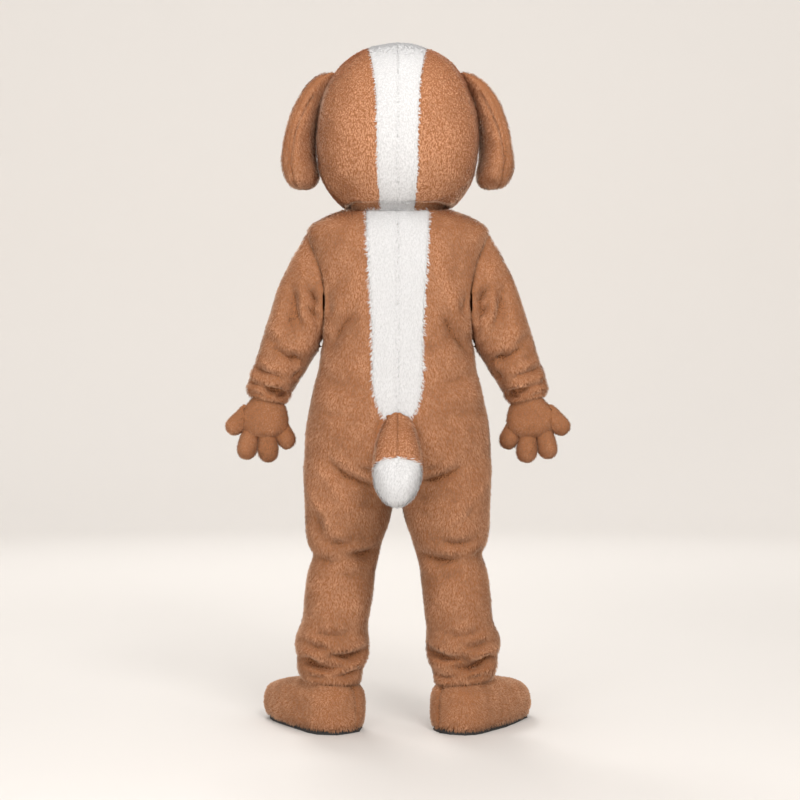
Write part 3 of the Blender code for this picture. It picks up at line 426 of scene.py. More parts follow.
# %% Smooth cloth from a sorted piece
ROUNDS, GIVEN_BACK = 2, 0.8  # corners are moved out this often, by this share of the loss


def vertex_rows(mesh):
    rows = np.empty(len(mesh.vertices) * 3)
    mesh.vertices.foreach_get("co", rows)
    return rows.reshape(-1, 3)


def move_vertices(mesh, rows):
    mesh.vertices.foreach_set("co", rows.ravel())
    mesh.update()


def smooth_cloth(name, wall, level):
    """A subdivided copy of a cut piece as a new mesh, with its sides in its slots.

    Subdivision draws a coarse shape inwards. The corners are moved out by most of what they
    lost, twice, so that the smooth surface passes close by those of the cut piece."""
    shape = merged_copy(name)
    sort_sides(shape, name, wall)
    bmesh.ops.join_triangles(
        shape, faces=shape.faces, cmp_materials=True, angle_face_threshold=math.radians(50),
        angle_shape_threshold=math.radians(75))
    crease = shape.edges.layers.float.new("crease_edge")
    for edge in shape.edges:
        if len({f.material_index for f in edge.link_faces}) > 1:
            edge[crease] = 1.0
    mesh = bpy.data.meshes.new(name)
    shape.to_mesh(mesh)
    shape.free()
    for _ in (COVER, LINING, RIM):
        mesh.materials.append(None)
    rough = add_object(name, mesh)
    smooth = rough.modifiers.new("smooth", "SUBSURF")
    smooth.levels = smooth.render_levels = level
    wanted = vertex_rows(mesh)
    cage = wanted.copy()
    for turn in range(ROUNDS + 1):
        dressed = bpy.data.meshes.new_from_object(
            rough.evaluated_get(bpy.context.evaluated_depsgraph_get()))
        if turn < ROUNDS:
            cage += GIVEN_BACK * (wanted - vertex_rows(dressed)[:len(wanted)])
            move_vertices(mesh, cage)
            bpy.data.meshes.remove(dressed)
    bpy.data.objects.remove(rough)
    return dressed


print("corners move out in", ROUNDS, "rounds")

# %% [markdown]
# ## Folds
# Plush is thick, so it hangs in few, soft folds: a long crease under the seat, short ones at the
# knees and elbows, and deep wrinkles where the sleeves and trouser legs are pushed up. Each is
# listed as a row of sizes. A fold is a trough along a slightly bowed line, with a full roll of
# cloth above it and a lower one below. It is placed in the front or the back view, and fades out
# where the cloth turns away to the side. No two are quite alike.

# %% Fold tables
# Each row: x and z at both ends, bow, width, depth of the trough and height of the roll,
# all in millimetres. The bow is how far the middle of the line sags. A depth below 0
# makes a ridge.
SUIT_BACK_FOLDS = (
    # under the seat and at the hips
    (176, -646, 62, -708, 9, 15, 18.5, 8), (94, -661, 63, -668, 2, 10, 12.5, 5),
    (-161, -658, -66, -697, 8, 15, 18, 7), (-104, -659, -71, -666, 2, 10, 11, 5),
    (214, -655, 116, -786, -8, 22, -7, 0), (236, -709, 148, -828, 8, 21, -6, 0),
    (-228, -690, -150, -806, 6, 22, -6, 0), (213, -786, 195, -838, 4, 18, 11, 2.5),
    (-205, -742, -168, -802, 4, 18, 8, 3), (150, -690, 92, -736, 5, 15, 7, 3),
    # behind the knees
    (176, -853, 126, -853, 4, 13, 14, 6.5), (116, -888, 53, -875, 6, 15, 16.5, 7),
    (-66, -888, -155, -901, 7, 15, 18, 7), (-126, -854, -190, -853, 4, 13, 14, 5),
    (212, -893, 168, -906, 3, 13, 9.5, 3), (-232, -876, -206, -892, 2, 13, 11, 3),
    (146, -934, 92, -927, 4, 15, 7, 2.5), (-110, -938, -168, -930, 3, 15, 7, 2.5),
    # calves and the gathered ankles
    (209, -1088, 124, -1091, 5, 13, 9.5, 5), (241, -1117, 176, -1127, 4, 12, 12.5, 6.5),
    (168, -1153, 79, -1143, 7, 13, 21.5, 7), (241, -1166, 144, -1185, 6, 13, 23, 7),
    (163, -1207, 97, -1195, 4, 10, 14, 5), (-77, -1143, -170, -1161, 6, 13, 21.5, 7),
    (-128, -1093, -212, -1086, 5, 13, 9.5, 5), (-176, -1122, -243, -1114, 4, 12, 11, 6.5),
    (-142, -1187, -246, -1161, 6, 13, 23, 7), (-105, -1208, -144, -1208, 3, 10, 12.5, 5),
    (232, -1204, 190, -1210, 3, 10, 11, 5), (-190, -1210, -232, -1204, 3, 10, 11, 3),
    # blades, waist and small of the back
    (122, -265, 173, -339, -5, 21, 12.5, 5), (-124, -265, -182, -349, 5, 21, 12.5, 5),
    (184, -205, 176, -262, 3, 15, 8, 3), (-182, -214, -176, -268, -3, 15, 8, 3),
    (198, -420, 128, -438, 5, 21, 7, 3), (-196, -412, -118, -436, 5, 21, 7, 3),
    (214, -508, 150, -520, 4, 22, 5.5, 2.5), (-214, -500, -140, -522, 4, 22, 5.5, 2.5),
)
SUIT_FRONT_FOLDS = (
    (170, -652, 54, -712, 7, 18, 14.5, 7), (-164, -656, -58, -706, 7, 18, 14.5, 6.5),
    (216, -716, 112, -778, 6, 21, 14, 6.5), (-210, -722, -120, -770, 6, 21, 12.5, 6.5),
    (118, -628, 70, -662, 4, 15, 9.5, 3), (-110, -632, -64, -668, 4, 15, 9.5, 3),
    (180, -858, 112, -866, 5, 15, 14, 6.5), (-96, -876, -168, -862, 5, 15, 14.5, 6.5),
    (150, -906, 84, -896, 4, 15, 11, 5), (-128, -916, -194, -904, 4, 15, 11, 5),
    (224, -1092, 140, -1102, 5, 13, 12.5, 5), (-112, -1096, -196, -1088, 5, 13, 12.5, 5),
    (170, -1140, 90, -1150, 6, 13, 20, 7), (-150, -1136, -240, -1150, 6, 13, 20, 7),
    (238, -1170, 150, -1184, 6, 13, 20, 7), (-84, -1176, -172, -1186, 6, 13, 20, 7),
    (150, -1206, 100, -1200, 3, 10, 11, 5), (-168, -1204, -226, -1209, 3, 10, 11, 5),
    (120, -258, 178, -338, -5, 21, 12.5, 5), (-118, -262, -180, -342, 5, 21, 12.5, 5),
    (60, -404, 160, -442, 9, 28, 8, 5), (-52, -410, -162, -438, 9, 28, 8, 5),
    (204, -500, 96, -528, 8, 25, 8, 3), (-206, -508, -104, -526, 8, 25, 8, 3),
    (30, -596, -34, -600, 5, 21, 7, 2.5), (150, -86, 96, -120, 4, 21, 5.5, 2.5),
)
SLEEVE_BACK_FOLDS = (
    (326, -350, 249, -380, 6, 15, 21, 8), (262, -116, 218, -292, -7, 21, -8, 0),
    (278, -196, 252, -292, 6, 18, 17.5, 5), (384, -393, 315, -424, 4, 13, 20.5, 8),
    (358, -450, 297, -465, 4, 12, 19.5, 7.5), (242, -176, 209, -228, 4, 13, 17, 5),
    (238, -232, 211, -272, 3, 12, 15, 4), (323, -480, 278, -472, 2, 10, 12.5, 5),
    (272, -424, 248, -405, 2, 10, 14.5, 3), (222, -190, 206, -292, 3, 21, 16.5, 5),
    (352, -312, 306, -336, 3, 15, 8, 5), (400, -430, 372, -442, 2, 10, 11, 5),
    (300, -240, 276, -296, 3, 19, 7, 3), (392, -464, 350, -478, 2, 10, 11, 5),
)
SLEEVE_FRONT_FOLDS = (
    (322, -344, 252, -366, 5, 15, 16.5, 7), (272, -180, 232, -290, 6, 21, 14, 5),
    (378, -388, 322, -410, 4, 13, 16.5, 7), (330, -420, 262, -428, 4, 12, 14.5, 6.5),
    (388, -446, 330, -462, 4, 12, 14.5, 6.5), (316, -476, 282, -468, 2, 10, 11, 5),
    (300, -296, 262, -322, 4, 18, 9.5, 5), (220, -180, 208, -280, 3, 21, 14, 5),
)
EAR_SEAM = ((218, 323, 279, 104, -15, 3.2, 11, 1),)
print(len(SUIT_BACK_FOLDS) + len(SUIT_FRONT_FOLDS), "folds on the suit")


# %% How deep the folds are at a place
DEEPEST = 30 * MM  # folds that cross don't go deeper than this
AT_ENDS = 0.45  # the share of its depth that a fold has at its ends
LOWER_ROLL = 0.45  # its height, as a share of the upper roll's
ABOVE, BELOW, ROLL_WIDTH = 1.7, 1.8, 0.9  # where the rolls lie, in widths of the trough


def fold_depth(points, folds):
    """Depth of all folds of one view at many places, in metres. Points are N rows of xyz."""
    across = points[:, [0, 2]]
    depth = np.zeros(len(points))
    for x0, z0, x1, z1, bow, width, trough, roll in np.array(folds) * MM:
        start, end = np.array((x0, z0)), np.array((x1, z1))
        line = end - start
        length = np.linalg.norm(line)
        along = (across - start) @ line / length ** 2
        if line[0] > 0:
            line = -line
        normal = np.array((line[1], -line[0])) / length  # points upwards
        inside = np.clip(along, 0, 1)
        away = (across - start) @ normal + bow * 4 * inside * (1 - inside)
        beyond = (along - inside) * length
        fade = np.exp(-(beyond / width) ** 2) * (AT_ENDS + 0.55 * np.sin(np.pi * inside))
        side = away / width
        crease = np.exp(-1.5 * (np.sqrt(side ** 2 + 0.04) - 0.2))  # with a round bottom
        rolls = (np.exp(-((side - ABOVE) / ROLL_WIDTH) ** 2)
                 + LOWER_ROLL * np.exp(-((side + BELOW) / ROLL_WIDTH) ** 2))
        depth += fade * (trough * crease - roll * rolls)
    return DEEPEST * np.tanh(depth / DEEPEST)


under_seat = np.array([[0.12, 0, -0.68]])
print("fold under the seat", fold_depth(under_seat, SUIT_BACK_FOLDS) / MM, "mm")

# %% How deep the cloth of a piece is pressed
WANDERS = ((0.9 * MM, 0.055, 11), (1.1 * MM, 0.14, 12))  # amount, size in metres and seed
FACING = 0.45  # folds fade where the cloth turns further aside than this
FLAT_AT_SEAM = 11 * MM  # and this near to a seam
EAR_FULLNESS = 5.5 * MM


def wander(points, size, seed):
    """A slow random wander over many places, mostly between -1 and 1."""
    source = np.random.default_rng(seed)
    total = np.zeros(len(points))
    for _ in range(7):
        direction = source.normal(size=3)
        direction /= np.linalg.norm(direction)
        stride = 2 * np.pi / (size * source.uniform(0.7, 1.6))
        total += np.sin(points @ direction * stride + source.uniform(0, 2 * np.pi))
    return total / 3.2


def press_in(points, normals, name, seam_gap=None):
    """How far the cloth of a piece lies inside its smooth form, in metres. Without the
    distances to the seams, it tells the folds alone."""
    depth = np.zeros(len(points))
    facing = np.clip(np.abs(normals[:, 1]) / FACING, 0, 1)
    if seam_gap is not None:
        for amount, size, seed in WANDERS:
            depth += amount * wander(points, size, seed)
        facing *= 1 - np.exp(-(seam_gap / FLAT_AT_SEAM) ** 2)
    if name.startswith(("back_left", "back_right")):
        depth += fold_depth(points, SUIT_BACK_FOLDS) * facing
    elif name.startswith("front"):
        depth += fold_depth(points, SUIT_FRONT_FOLDS) * facing
    elif name.startswith("sleeve"):
        left_arm = points * ((1 if name.endswith("left") else -1), 1, 1)
        behind = normals[:, 1] > 0
        depth += np.where(behind, fold_depth(left_arm, SLEEVE_BACK_FOLDS),
                          fold_depth(left_arm, SLEEVE_FRONT_FOLDS)) * facing
    elif name.startswith("ear"):
        depth += fold_depth(np.abs(points), EAR_SEAM) * (normals[:, 1] > 0.1)
        # the ear is fuller on the side that lies against the head
        depth -= EAR_FULLNESS * np.clip(-normals[:, 0] * np.sign(points[:, 0]), 0, 1)
    return depth


print("pressed in", press_in(under_seat, np.array([[0, 1, 0]]), "back_right") / MM, "mm")

# %% [markdown]
# ## Pressing the cloth in
# The solids reach as far as the pile does, so the cloth itself lies a pile's depth further
# in. Every point of the outer side moves inwards along its own normal by that depth, by
# the folds and by a small wander. The lining follows the outer side at the thickness of
# the cloth, and the seams are drawn in a little more, where the thread holds both layers.

# %% Arrays from a mesh
def face_rows(mesh):
    """Corner numbers and side of each triangle of a mesh."""
    mesh.calc_loop_triangles()
    count = len(mesh.loop_triangles)
    corners, face = np.empty(count * 3, dtype=np.int64), np.empty(count, dtype=np.int64)
    mesh.loop_triangles.foreach_get("vertices", corners)
    mesh.loop_triangles.foreach_get("polygon_index", face)
    side = np.empty(len(mesh.polygons), dtype=np.int64)
    mesh.polygons.foreach_get("material_index", side)
    return corners.reshape(-1, 3), side[face]


def unit(rows):
    return rows / np.maximum(np.linalg.norm(rows, axis=1, keepdims=True), 1e-9)


def side_normals(points, faces):
    """Normals of the points of some faces, from those faces alone."""
    a, b, c = (points[faces[:, corner]] for corner in range(3))
    weighted = np.cross(b - a, c - a)
    total = np.zeros_like(points)
    for corner in range(3):
        np.add.at(total, faces[:, corner], weighted)
    return unit(total)


def edges_of(faces, count):
    """The edges of some faces, each as one number."""
    ends = np.concatenate((faces[:, [0, 1]], faces[:, [1, 2]], faces[:, [2, 0]]))
    ends.sort(axis=1)
    return np.unique(ends[:, 0] * count + ends[:, 1])


def seam_points(points, faces, side, spacing=1.5 * MM):
    """Points close together along the edge of the outer side."""
    count = len(points)
    shared = np.intersect1d(edges_of(faces[side == COVER], count),
                            edges_of(faces[side != COVER], count))
    if not len(shared):
        return np.zeros((0, 3))
    ends = np.stack((shared // count, shared % count), axis=1)
    start, finish = points[ends[:, 0]], points[ends[:, 1]]
    steps = max(int(np.linalg.norm(finish - start, axis=1).max() / spacing), 1)
    share = np.linspace(0, 1, steps + 1)[:, None, None]
    return (start * (1 - share) + finish * share).reshape(-1, 3)


def search_tree(places):
    tree = KDTree(len(places))
    for number, place in enumerate(places):
        tree.insert(place, number)
    tree.balance()
    return tree


def nearest(targets, places):
    """Number of the nearest target, and the distance to it, for each place."""
    search = search_tree(targets)
    found = [search.find(place)[1:] for place in places]
    return (np.array([number for number, _ in found]), np.array([gap for _, gap in found]))


print("the floor has", len(face_rows(floor_mesh)[0]), "triangles")

# %% Finer faces where the folds are
BENT = 2.6 * MM  # faces that a fold moves further than this are cut


def refine_folds(mesh, name):
    """Cuts the outer faces in four wherever a fold bends the cloth."""
    points, (faces, side) = vertex_rows(mesh), face_rows(mesh)
    depth = press_in(points, side_normals(points, faces[side == COVER]), name)
    shape = bmesh.new()
    shape.from_mesh(mesh)
    bent = {edge for face in shape.faces
            if face.material_index == COVER
            and max(abs(depth[v.index]) for v in face.verts) > BENT for edge in face.edges}
    bmesh.ops.subdivide_edges(shape, edges=list(bent), cuts=1, use_grid_fill=True, smooth=0)
    shape.to_mesh(mesh)
    shape.free()


print("cut in four above", BENT / MM, "mm")

# %% Normals that pieces share where they are sewn together
TOGETHER = 3 * MM  # borders this near are sewn together


def border_of(mesh):
    """Points along the edge of the outer side of a piece, and their normals."""
    points, (faces, side) = vertex_rows(mesh), face_rows(mesh)
    outer = side_normals(points, faces[side == COVER])
    both = np.intersect1d(faces[side == COVER], faces[side != COVER])
    return both, points[both], outer[both]


def share_normals(meshes):
    """For each piece, the points of its border and the mean normal of all cloth there."""
    borders = {name: border_of(mesh) for name, mesh in meshes.items()}
    places = np.concatenate([places for _, places, _ in borders.values()])
    normals = np.concatenate([normals for _, _, normals in borders.values()])
    search, shared = search_tree(places), {}
    for name, (numbers, own_places, _) in borders.items():
        found = [[number for _, number, _ in search.find_range(place, TOGETHER)]
                 for place in own_places]
        mean = [normals[near].sum(axis=0) for near in found]
        shared[name] = (numbers, unit(np.array(mean)) if len(mean) else np.zeros((0, 3)))
    return shared


print("sewn together within", TOGETHER / MM, "mm")

# %% How far the sewing draws the cloth in
HEM, HAND = -1.235, -0.502  # heights of the trouser hems and of the hand below the cuff
HAND_OUT = 0.26  # hands lie further out than this
SEWN, MIDDLE_LESS, HEM_MORE, HAND_LESS = 1.4, 0.9, 3.4, 4.2  # in millimetres


def drawn_in(points):
    """A little at a plain seam, more at the hems, least down the middle of the back. The
    digits and the hand are stuffed until their seams stand out instead."""
    out, height = np.abs(points[:, 0]), points[:, 2]
    hem = np.clip((HEM + 0.02 - height) / 0.02, 0, 1)
    hand = np.clip((out - HAND_OUT) / 0.02, 0, 1) * np.clip((HAND - height) / 0.01, 0, 1)
    hand *= height > HEM
    middle = np.exp(-(out / 0.02) ** 2)
    return (SEWN - MIDDLE_LESS * middle + HEM_MORE * hem - HAND_LESS * hand) * MM


print("a side seam is drawn in", drawn_in(np.array([[0.1, 0, 0]])) / MM, "mm")

# %% Cloth of one piece
SEAM_REACH = 7 * MM  # a seam draws the cloth in about this far


def press_cloth(mesh, name, pile_depth, lining_depth, border):
    """Moves a subdivided piece to where its cloth lies, and tells where its seams are."""
    points, (faces, side) = vertex_rows(mesh), face_rows(mesh)
    outer = side_normals(points, faces[side == COVER])
    outer[border[0]] = border[1]
    on_cover = np.zeros(len(points), bool)
    on_cover[faces[side == COVER]] = True
    seams = seam_points(points, faces, side)
    gap = nearest(seams, points)[1] if len(seams) else np.full(len(points), 1.0)
    folds = press_in(points, outer, name, gap) + drawn_in(points) * np.exp(-gap / SEAM_REACH)
    moved = points.copy()
    moved[on_cover] -= outer[on_cover] * (pile_depth + folds[on_cover])[:, None]
    behind = np.flatnonzero(~on_cover)
    if lining_depth is not None and len(behind):
        covering = np.flatnonzero(on_cover)
        at, _ = nearest(points[covering], points[behind])
        on_lining = np.zeros(len(points), bool)
        on_lining[faces[side == LINING]] = True
        depth = np.where(on_lining[behind], lining_depth, (lining_depth + pile_depth) / 2)
        match = covering[at]
        moved[behind] -= outer[match] * (depth + folds[match])[:, None]
    move_vertices(mesh, moved)
    return points, moved, faces[side == COVER], seams


print("seams reach", SEAM_REACH / MM, "mm")

# %% [markdown]
# ## The pile
# The plush is grown strand by strand. Each strand is a small bent kite of two triangles:
# a root, a wide middle and a tip. Roots are scattered evenly over the outer side, strands
# lean the way the cloth is brushed, which is downwards, and the tips of neighbours are
# drawn together into small tufts. Near a seam the strands are shorter, because the sewing
# line holds them down. Where white plush meets brown, the white strands reach over the
# edge, so that it looks soft and ragged. Fine pile is lit as one soft surface, so a strand
# mostly takes the normal of its cloth.

# %% Scatter over faces
def scatter(points, triangles, amount, source):
    """Evenly spread places on some faces: the corners of each one's triangle and its weights."""
    a, b, c = (points[triangles[:, k]] for k in range(3))
    area = np.linalg.norm(np.cross(b - a, c - a), axis=1) / 2
    ends = np.cumsum(area)
    # one place in every equal step of area, so that no bare spots are left by chance
    chosen = (np.arange(amount) + source.random(amount)) / amount * ends[-1]
    picked = triangles[np.minimum(np.searchsorted(ends, chosen), len(triangles) - 1)]
    u, v = source.random(amount), source.random(amount)
    over = u + v > 1
    u[over], v[over] = 1 - u[over], 1 - v[over]
    return picked, np.stack((1 - u - v, u, v), axis=1), float(ends[-1])


def blend(rows, picked, weights):
    return (rows[picked] * weights[:, :, None]).sum(axis=1)


trial = np.array([[0, 0, 0], [1, 0, 0], [0, 1, 0]])
print("trial area", scatter(trial, np.array([[0, 1, 2]]), 1, np.random.default_rng(0))[2])

# %% The mesh of many strands
RISES = (0, 0.55, 0.55, 1)  # how high root, both sides and tip of a kite lie
# where the six corners of a kite's triangles lie in its own cell of the chart
IN_CELL = np.array(((0.5, 0.08), (0.92, 0.5), (0.08, 0.5),
                    (0.08, 0.5), (0.92, 0.5), (0.5, 0.92)))


def strand_mesh(name, root, left, right, tip, shading, tone):
    """Joins many kites into one mesh, with the normals, tones and chart the pile needs."""
    count = len(root)
    mesh = bpy.data.meshes.new(name)
    corners = np.stack((root, left, right, tip), axis=1).reshape(-1, 3)
    first = np.arange(count)[:, None] * 4
    loops = (first + np.array([0, 2, 1, 1, 2, 3])).ravel()
    mesh.vertices.add(count * 4)
    mesh.vertices.foreach_set("co", corners.ravel().astype(np.float32))
    mesh.loops.add(count * 6)
    mesh.loops.foreach_set("vertex_index", loops.astype(np.int32))
    mesh.polygons.add(count * 2)
    mesh.polygons.foreach_set("loop_start", np.arange(0, count * 6, 3, dtype=np.int32))
    mesh.update(calc_edges=True)
    # tuft carries each strand's tone, painted shade in folds and at the hems included
    for label, values in (("rise", np.tile(RISES, count)), ("tuft", np.repeat(tone, 4))):
        carried = mesh.attributes.new(label, "FLOAT", "POINT")
        carried.data.foreach_set("value", values.astype(np.float32))
    chart = mesh.uv_layers.new(name="OFBake")
    across = int(np.ceil(np.sqrt(count)))
    cell = np.stack((np.arange(count) % across, np.arange(count) // across), axis=1)
    spots = (cell[:, None, :] + IN_CELL[None]) / across
    chart.data.foreach_set("uv", spots.reshape(-1).astype(np.float32))
    mesh.shade_smooth()
    mesh.normals_split_custom_set_from_vertices(np.repeat(shading, 4, axis=0))
    return mesh


print("a strand has", len(IN_CELL) // 3, "triangles")

# %% Where strands stand
PILE_DENSITY = 100_000  # strands on a square metre


def is_covered(spot, up, name):
    hit = every_piece.ray_cast(spot + up * 0.5 * MM, up, 3 * MM)[2]
    return hit is not None and owners[hit] != name


def root_strands(name, cloth, source):
    """Roots on the outer side of a pressed piece, the spots above them where the solid ends,
    the normals, and the area. None stand where another piece covers this one."""
    smooth, moved, faces, _ = cloth
    area = scatter(moved, faces, 1, source)[2]
    picked, weights, _ = scatter(moved, faces, int(area * PILE_DENSITY), source)
    place, level = blend(moved, picked, weights), blend(smooth, picked, weights)
    normal = unit(blend(side_normals(moved, faces), picked, weights))
    free = np.array([not is_covered(Vector(a), Vector(b), name) for a, b in zip(level, normal)])
    return place[free], level[free], normal[free], area


print(PILE_DENSITY, "strands a square metre")

# %% How strands are brushed, and how long they are
SWIRL, STRAY = 0.28, 0.16  # how far the brushing swirls slowly, and from strand to strand
UNEVEN = 0.16  # strands differ in length by about this share
CRUSHED = 0.45  # shorter by this share in a deep fold and at a seam
OVER_EDGE = 7 * MM  # white strands this near to the brown reach over it
TO_BROWN, TO_WHITE = 1.1, 0.9  # how strongly they turn there, and at the centre back seam
SOLE_BAND, OVER_SOLE = 26 * MM, 1.3  # below this height they are longer by this share


def held_down(gap):
    """1 where the sewing line holds the pile down, 0 away from it."""
    return np.exp(-(gap / (5 * MM)) ** 2)


def brush_strands(level, normal, pressed, seams, length, nap, reach_over, seed, source):
    """Which way each strand lies, how long it is, and its distance from a seam."""
    count = len(level)
    swirl = np.stack([wander(level, 0.07, seed + 50 + k) for k in range(3)], axis=1)
    brushed = np.array(nap)[None] + SWIRL * swirl + STRAY * source.normal(size=(count, 3))
    brushed = unit(brushed - normal * (brushed * normal).sum(axis=1, keepdims=True))
    gap, border = np.full(count, 1.0), np.zeros((count, 3))
    if len(seams):
        at, gap = nearest(seams, level)
        border = seams[at] - level
    size = length * (1 + UNEVEN * source.normal(size=count)).clip(0.6, 1.4)
    size *= 1 - CRUSHED * np.clip((pressed - 6 * MM) / (9 * MM), 0, 1)
    if reach_over:
        centre_seam = np.abs(level[:, 0] + border[:, 0]) < 3 * MM
        edge = unit(border - normal * (border * normal).sum(axis=1, keepdims=True))
        pull = np.exp(-(gap / OVER_EDGE) ** 2)
        turned = pull * np.where(centre_seam, TO_WHITE, TO_BROWN)
        brushed = unit(brushed + turned[:, None] * edge)
        size *= 1 + 0.25 * pull * source.random(count) * ~centre_seam
    else:
        size *= 1 - CRUSHED * held_down(gap)
    low = np.clip((FLOOR + SOLE_BAND - level[:, 2]) / (14 * MM), 0, 1)
    size *= 1 + OVER_SOLE * low
    return unit(brushed + low[:, None] * (0, 0, -1.6)), size, gap


print("crushed by up to", CRUSHED)

# %% Tufts
TUFT_SIZE = 7.5 * MM
CLOSING = (0.08, 0.38)  # least and most that a tuft closes up
LEAN_SPREAD = 7  # degrees by which strands differ in lean


def bend_strands(place, normal, brushed, size, lean, area, source):
    """The middles and tips of all strands, their tufts, and how many tufts there are.

    Strands with the same nearest centre close up towards the tip."""
    count = len(place)
    centres = source.permutation(count)[:max(int(area / TUFT_SIZE ** 2), 4)]
    tuft, _ = nearest(place[centres], place)
    rise = np.radians(lean + LEAN_SPREAD * source.normal(size=count)).clip(0.2, 1.3)[:, None]
    middle_way = unit(brushed * np.cos(rise * 1.25) + normal * np.sin(rise * 1.25))
    tip_way = unit(brushed * np.cos(rise * 0.8) + normal * np.sin(rise * 0.8))
    middle = place + middle_way * size[:, None] * 0.5
    tip = middle + tip_way * size[:, None] * 0.5
    heart = centres[tuft]
    closing = source.uniform(*CLOSING, len(centres))[tuft][:, None]
    tip += (tip[heart] - tip) * closing
    middle += (middle[heart] - middle) * closing * 0.35
    for end in (tip, middle):
        end[:, 2] = np.maximum(end[:, 2], FLOOR + 1 * MM)
    return middle, tip, tuft, len(centres)


print("tufts", TUFT_SIZE / MM, "mm wide")

# %% Tones
PALER = {"head": 0.34, "tail": 0.26, "glove": -0.18, "": 0.0}  # added to the tone
# the last two are how much painted shade darkens a strand in a fold and at the trouser hems
TONE, TUFT_TONE, PAINTED_CREASE_SHADE, PAINTED_HEM_SHADE = 0.60, 0.36, 0.56, 0.5


def kind_of(name, table):
    """The longest entry of a table that a piece's name starts with."""
    fitting = [key for key in table if name.startswith(key)]
    return table[max(fitting, key=len)] if fitting else None


def tone_strands(name, level, gap, fold, mixed, reach_over):
    """The tone of each strand. It is darker at a seam. Painted shade makes it darker in a fold,
    and most of all at the trouser hems, where the boots go in and boot and leg shade each other.
    The rolls beside a fold get a little painted highlight."""
    # painted shade: darker the deeper the fold, with a little painted highlight on its rolls
    crease = np.clip(fold / (11 * MM), -0.4, 1)
    crease = np.sign(crease) * np.abs(crease) ** 1.7
    tone = TONE + TUFT_TONE * (mixed - 0.5) - PAINTED_CREASE_SHADE * crease + kind_of(name, PALER)
    at_seam = 0.05 if reach_over else 0.08 if name.startswith("glove") else 0.25
    # painted shade at the trouser hems, where boot and leg shade each other
    hem_shade = np.exp(-((level[:, 2] - HEM) / (12 * MM)) ** 2 - (gap / (10 * MM)) ** 2)
    return tone - at_seam * held_down(gap) - PAINTED_HEM_SHADE * hem_shade


print("head paler by", kind_of("head_left", PALER))

# %% The pile of one piece
STRAND_WIDTH = 2.1 * MM
WHITE_RUFFLED, BROWN_RUFFLED = 0.10, 0.20  # how far strands are lit each in its own way


def grow_pile(name, cloth, pile_depth, length, lean, nap, reach_over, seed):
    """The strands on the outer side of a pressed piece, as a new mesh."""
    source = np.random.default_rng(seed)
    place, level, normal, area = root_strands(name, cloth, source)
    pressed = ((level - place) * normal).sum(axis=1)
    brushed, size, gap = brush_strands(level, normal, pressed, cloth[3], length, nap,
                                       reach_over, seed, source)
    middle, tip, tuft, tufts = bend_strands(place, normal, brushed, size, lean, area, source)
    count = len(place)

    # a strand lies flat to the cloth, turned a little about itself
    flat = unit(np.cross(tip - place, normal))
    upright = unit(np.cross(flat, tip - place))
    turn = np.radians(source.uniform(-25, 25, count))[:, None]
    half = (flat * np.cos(turn) + upright * np.sin(turn)) * STRAND_WIDTH / 2
    half *= source.uniform(0.75, 1.2, count)[:, None]
    mixed = 0.55 * source.random(tufts)[tuft] + 0.45 * source.random(count)
    tone = tone_strands(name, level, gap, pressed - pile_depth, mixed, reach_over)
    root = place - normal * 0.6 * MM

    # pile is lit as a soft whole: each strand's normal is mostly that of its cloth
    own = unit(np.cross(half, tip - root))
    ruffled = WHITE_RUFFLED if reach_over else BROWN_RUFFLED
    shading = unit(normal + ruffled * own + 0.5 * ruffled * source.normal(size=(count, 3)))
    return strand_mesh(f"pile_{name}", root, middle - half, middle + half, tip, shading, tone)


print("strands", STRAND_WIDTH / MM, "mm wide")

# %% [markdown]
# ## Dressing every piece
# All pieces go through the same steps with their own sizes: how thick the cut piece is, how far in
# its cloth lies, how long the pile is and which way it is brushed. The pile of the head runs back
# over the crown, that of the boots towards the toes and that of the tail to its tip. The head,
# ears, tail, digits and boots are backed with foam or stuffed.

# %% Sizes of each kind of piece
DOWN, OVER_CROWN, TO_TOES, TO_TIP, FROM_NOSE = (
    (0, 0, -1), (0, 0.6, -1), (0, -1, -0.6), (0, 0.545, -0.839), (0, 1, -0.35))
# thickness, depth of cloth and of lining, strand length (in mm), lean in degrees, brushed way
KINDS = {
    "back_stripe": (6, 3.5, 1.0, 11, 26, DOWN),
    "back": (6, 3.5, 1.0, 10.5, 26, DOWN),
    "front": (6, 3.5, 1.0, 10.5, 26, DOWN),
    "sleeve": (6, 3.5, 1.0, 10, 26, DOWN),
    "neck": (3, 1.5, 0.3, 7, 26, DOWN),
    "head": (10, 3.5, 0.0, 8.5, 26, OVER_CROWN),
    "muzzle": (None, 3.5, None, 8, 28, FROM_NOSE),
    "ear": (None, 3.0, None, 9, 28, DOWN),
    "glove_hand": (7, 1.5, 0.5, 6, 26, DOWN),
    "glove_digit": (None, -1.0, None, 6, 26, DOWN),
    "tail": (None, 3.5, None, 11, 28, TO_TIP),
    "boot": (10, 3.0, 0.0, 7, 26, TO_TOES),
}
# hard pieces: their material, the name of their finish and their level of subdivision
HARD = {"sole": (RUBBER, "black_rubber", 1), "nose": (GLOSS, "black_gloss", 2),
        "eye": (GLOSS, "black_gloss", 2)}
WHITE = ("back_stripe", "head_stripe", "muzzle", "neck_white", "tail_tip")
print(len(KINDS) + len(HARD), "kinds of piece")


# %% Helpers for one piece
def show(name, mesh, materials):
    mesh.materials.clear()
    for material in materials:
        mesh.materials.append(material)
    piece = add_object(name, mesh)
    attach(piece, "root")
    return piece


def wall_of(name):
    thick = kind_of(name, KINDS)[0]
    return thick * MM if thick else None


SOLE_INSET = 6 * MM  # the pile of the boot hangs over the edge of its sole


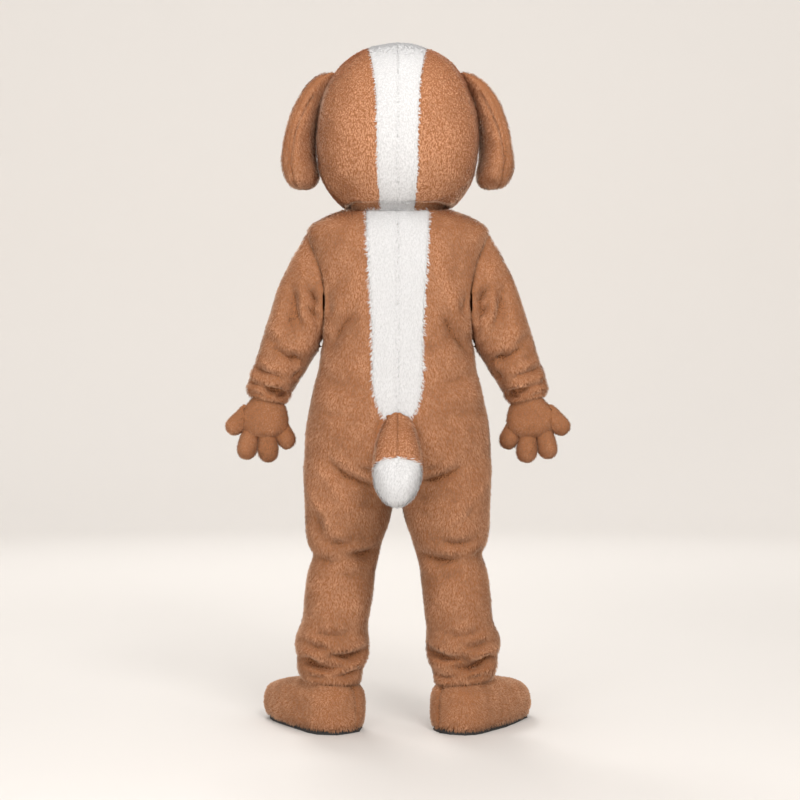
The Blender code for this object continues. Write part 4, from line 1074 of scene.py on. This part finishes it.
def inset(mesh, depth):
    """Draws the upright sides of a flat piece in from its outline."""
    points, (faces, _) = vertex_rows(mesh), face_rows(mesh)
    out = side_normals(points, faces) * (1, 1, 0)
    move_vertices(mesh, points - out * depth)


print("soles drawn in", SOLE_INSET / MM, "mm")

# %% Dress the hard pieces
for name in sorted(nodes):
    hard = kind_of(name, HARD)
    if hard:
        material, finish, subdivision = hard
        mesh = smooth_cloth(name, None, subdivision)
        if name.startswith("sole"):
            inset(mesh, SOLE_INSET)
        mesh.shade_smooth()
        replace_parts(show(f"dressed_{name}", mesh, [material] * 3), name)
        print(name, len(mesh.polygons), "faces")

# %% Smooth the soft pieces
SOFT_LEVEL = 2  # of subdivision
soft_meshes = {name: smooth_cloth(name, wall_of(name), SOFT_LEVEL)
               for name in sorted(nodes) if not kind_of(name, HARD)}
for name, mesh in soft_meshes.items():
    if name.startswith(("back_left", "back_right", "front", "sleeve", "ear")):
        refine_folds(mesh, name)
borders = share_normals(soft_meshes)
print(len(soft_meshes), "soft pieces")

# %% Press the cloth in and grow the pile
strand_total = face_total = 0
for number, (name, mesh) in enumerate(soft_meshes.items()):
    _, depth, lining_depth, length, lean, nap = kind_of(name, KINDS)
    wall = wall_of(name)
    cloth = press_cloth(mesh, name, depth * MM, lining_depth * MM if wall else None,
                        borders[name])
    mesh.shade_smooth()
    is_white = name.startswith(WHITE)
    finish = "white_plush" if is_white else "brown_plush"
    pile_finish, ground = FINISHES[finish]
    piece = show(f"dressed_{name}", mesh, [ground, BACKING if wall else ground, ground])
    strands = grow_pile(name, cloth, depth * MM, length * MM, lean, nap, is_white, number)
    pile = show(f"pile_{name}", strands, [pile_finish])
    pile.visible_shadow = False  # thin fibres let most light through
    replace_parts(piece, name)
    mesh.calc_loop_triangles()
    strand_total += len(pile.data.polygons) // 2
    face_total += len(mesh.loop_triangles)
    print(name, len(mesh.loop_triangles), "triangles,", len(pile.data.polygons) // 2, "strands")
print("in all", face_total + strand_total * 2, "triangles,", strand_total, "strands")
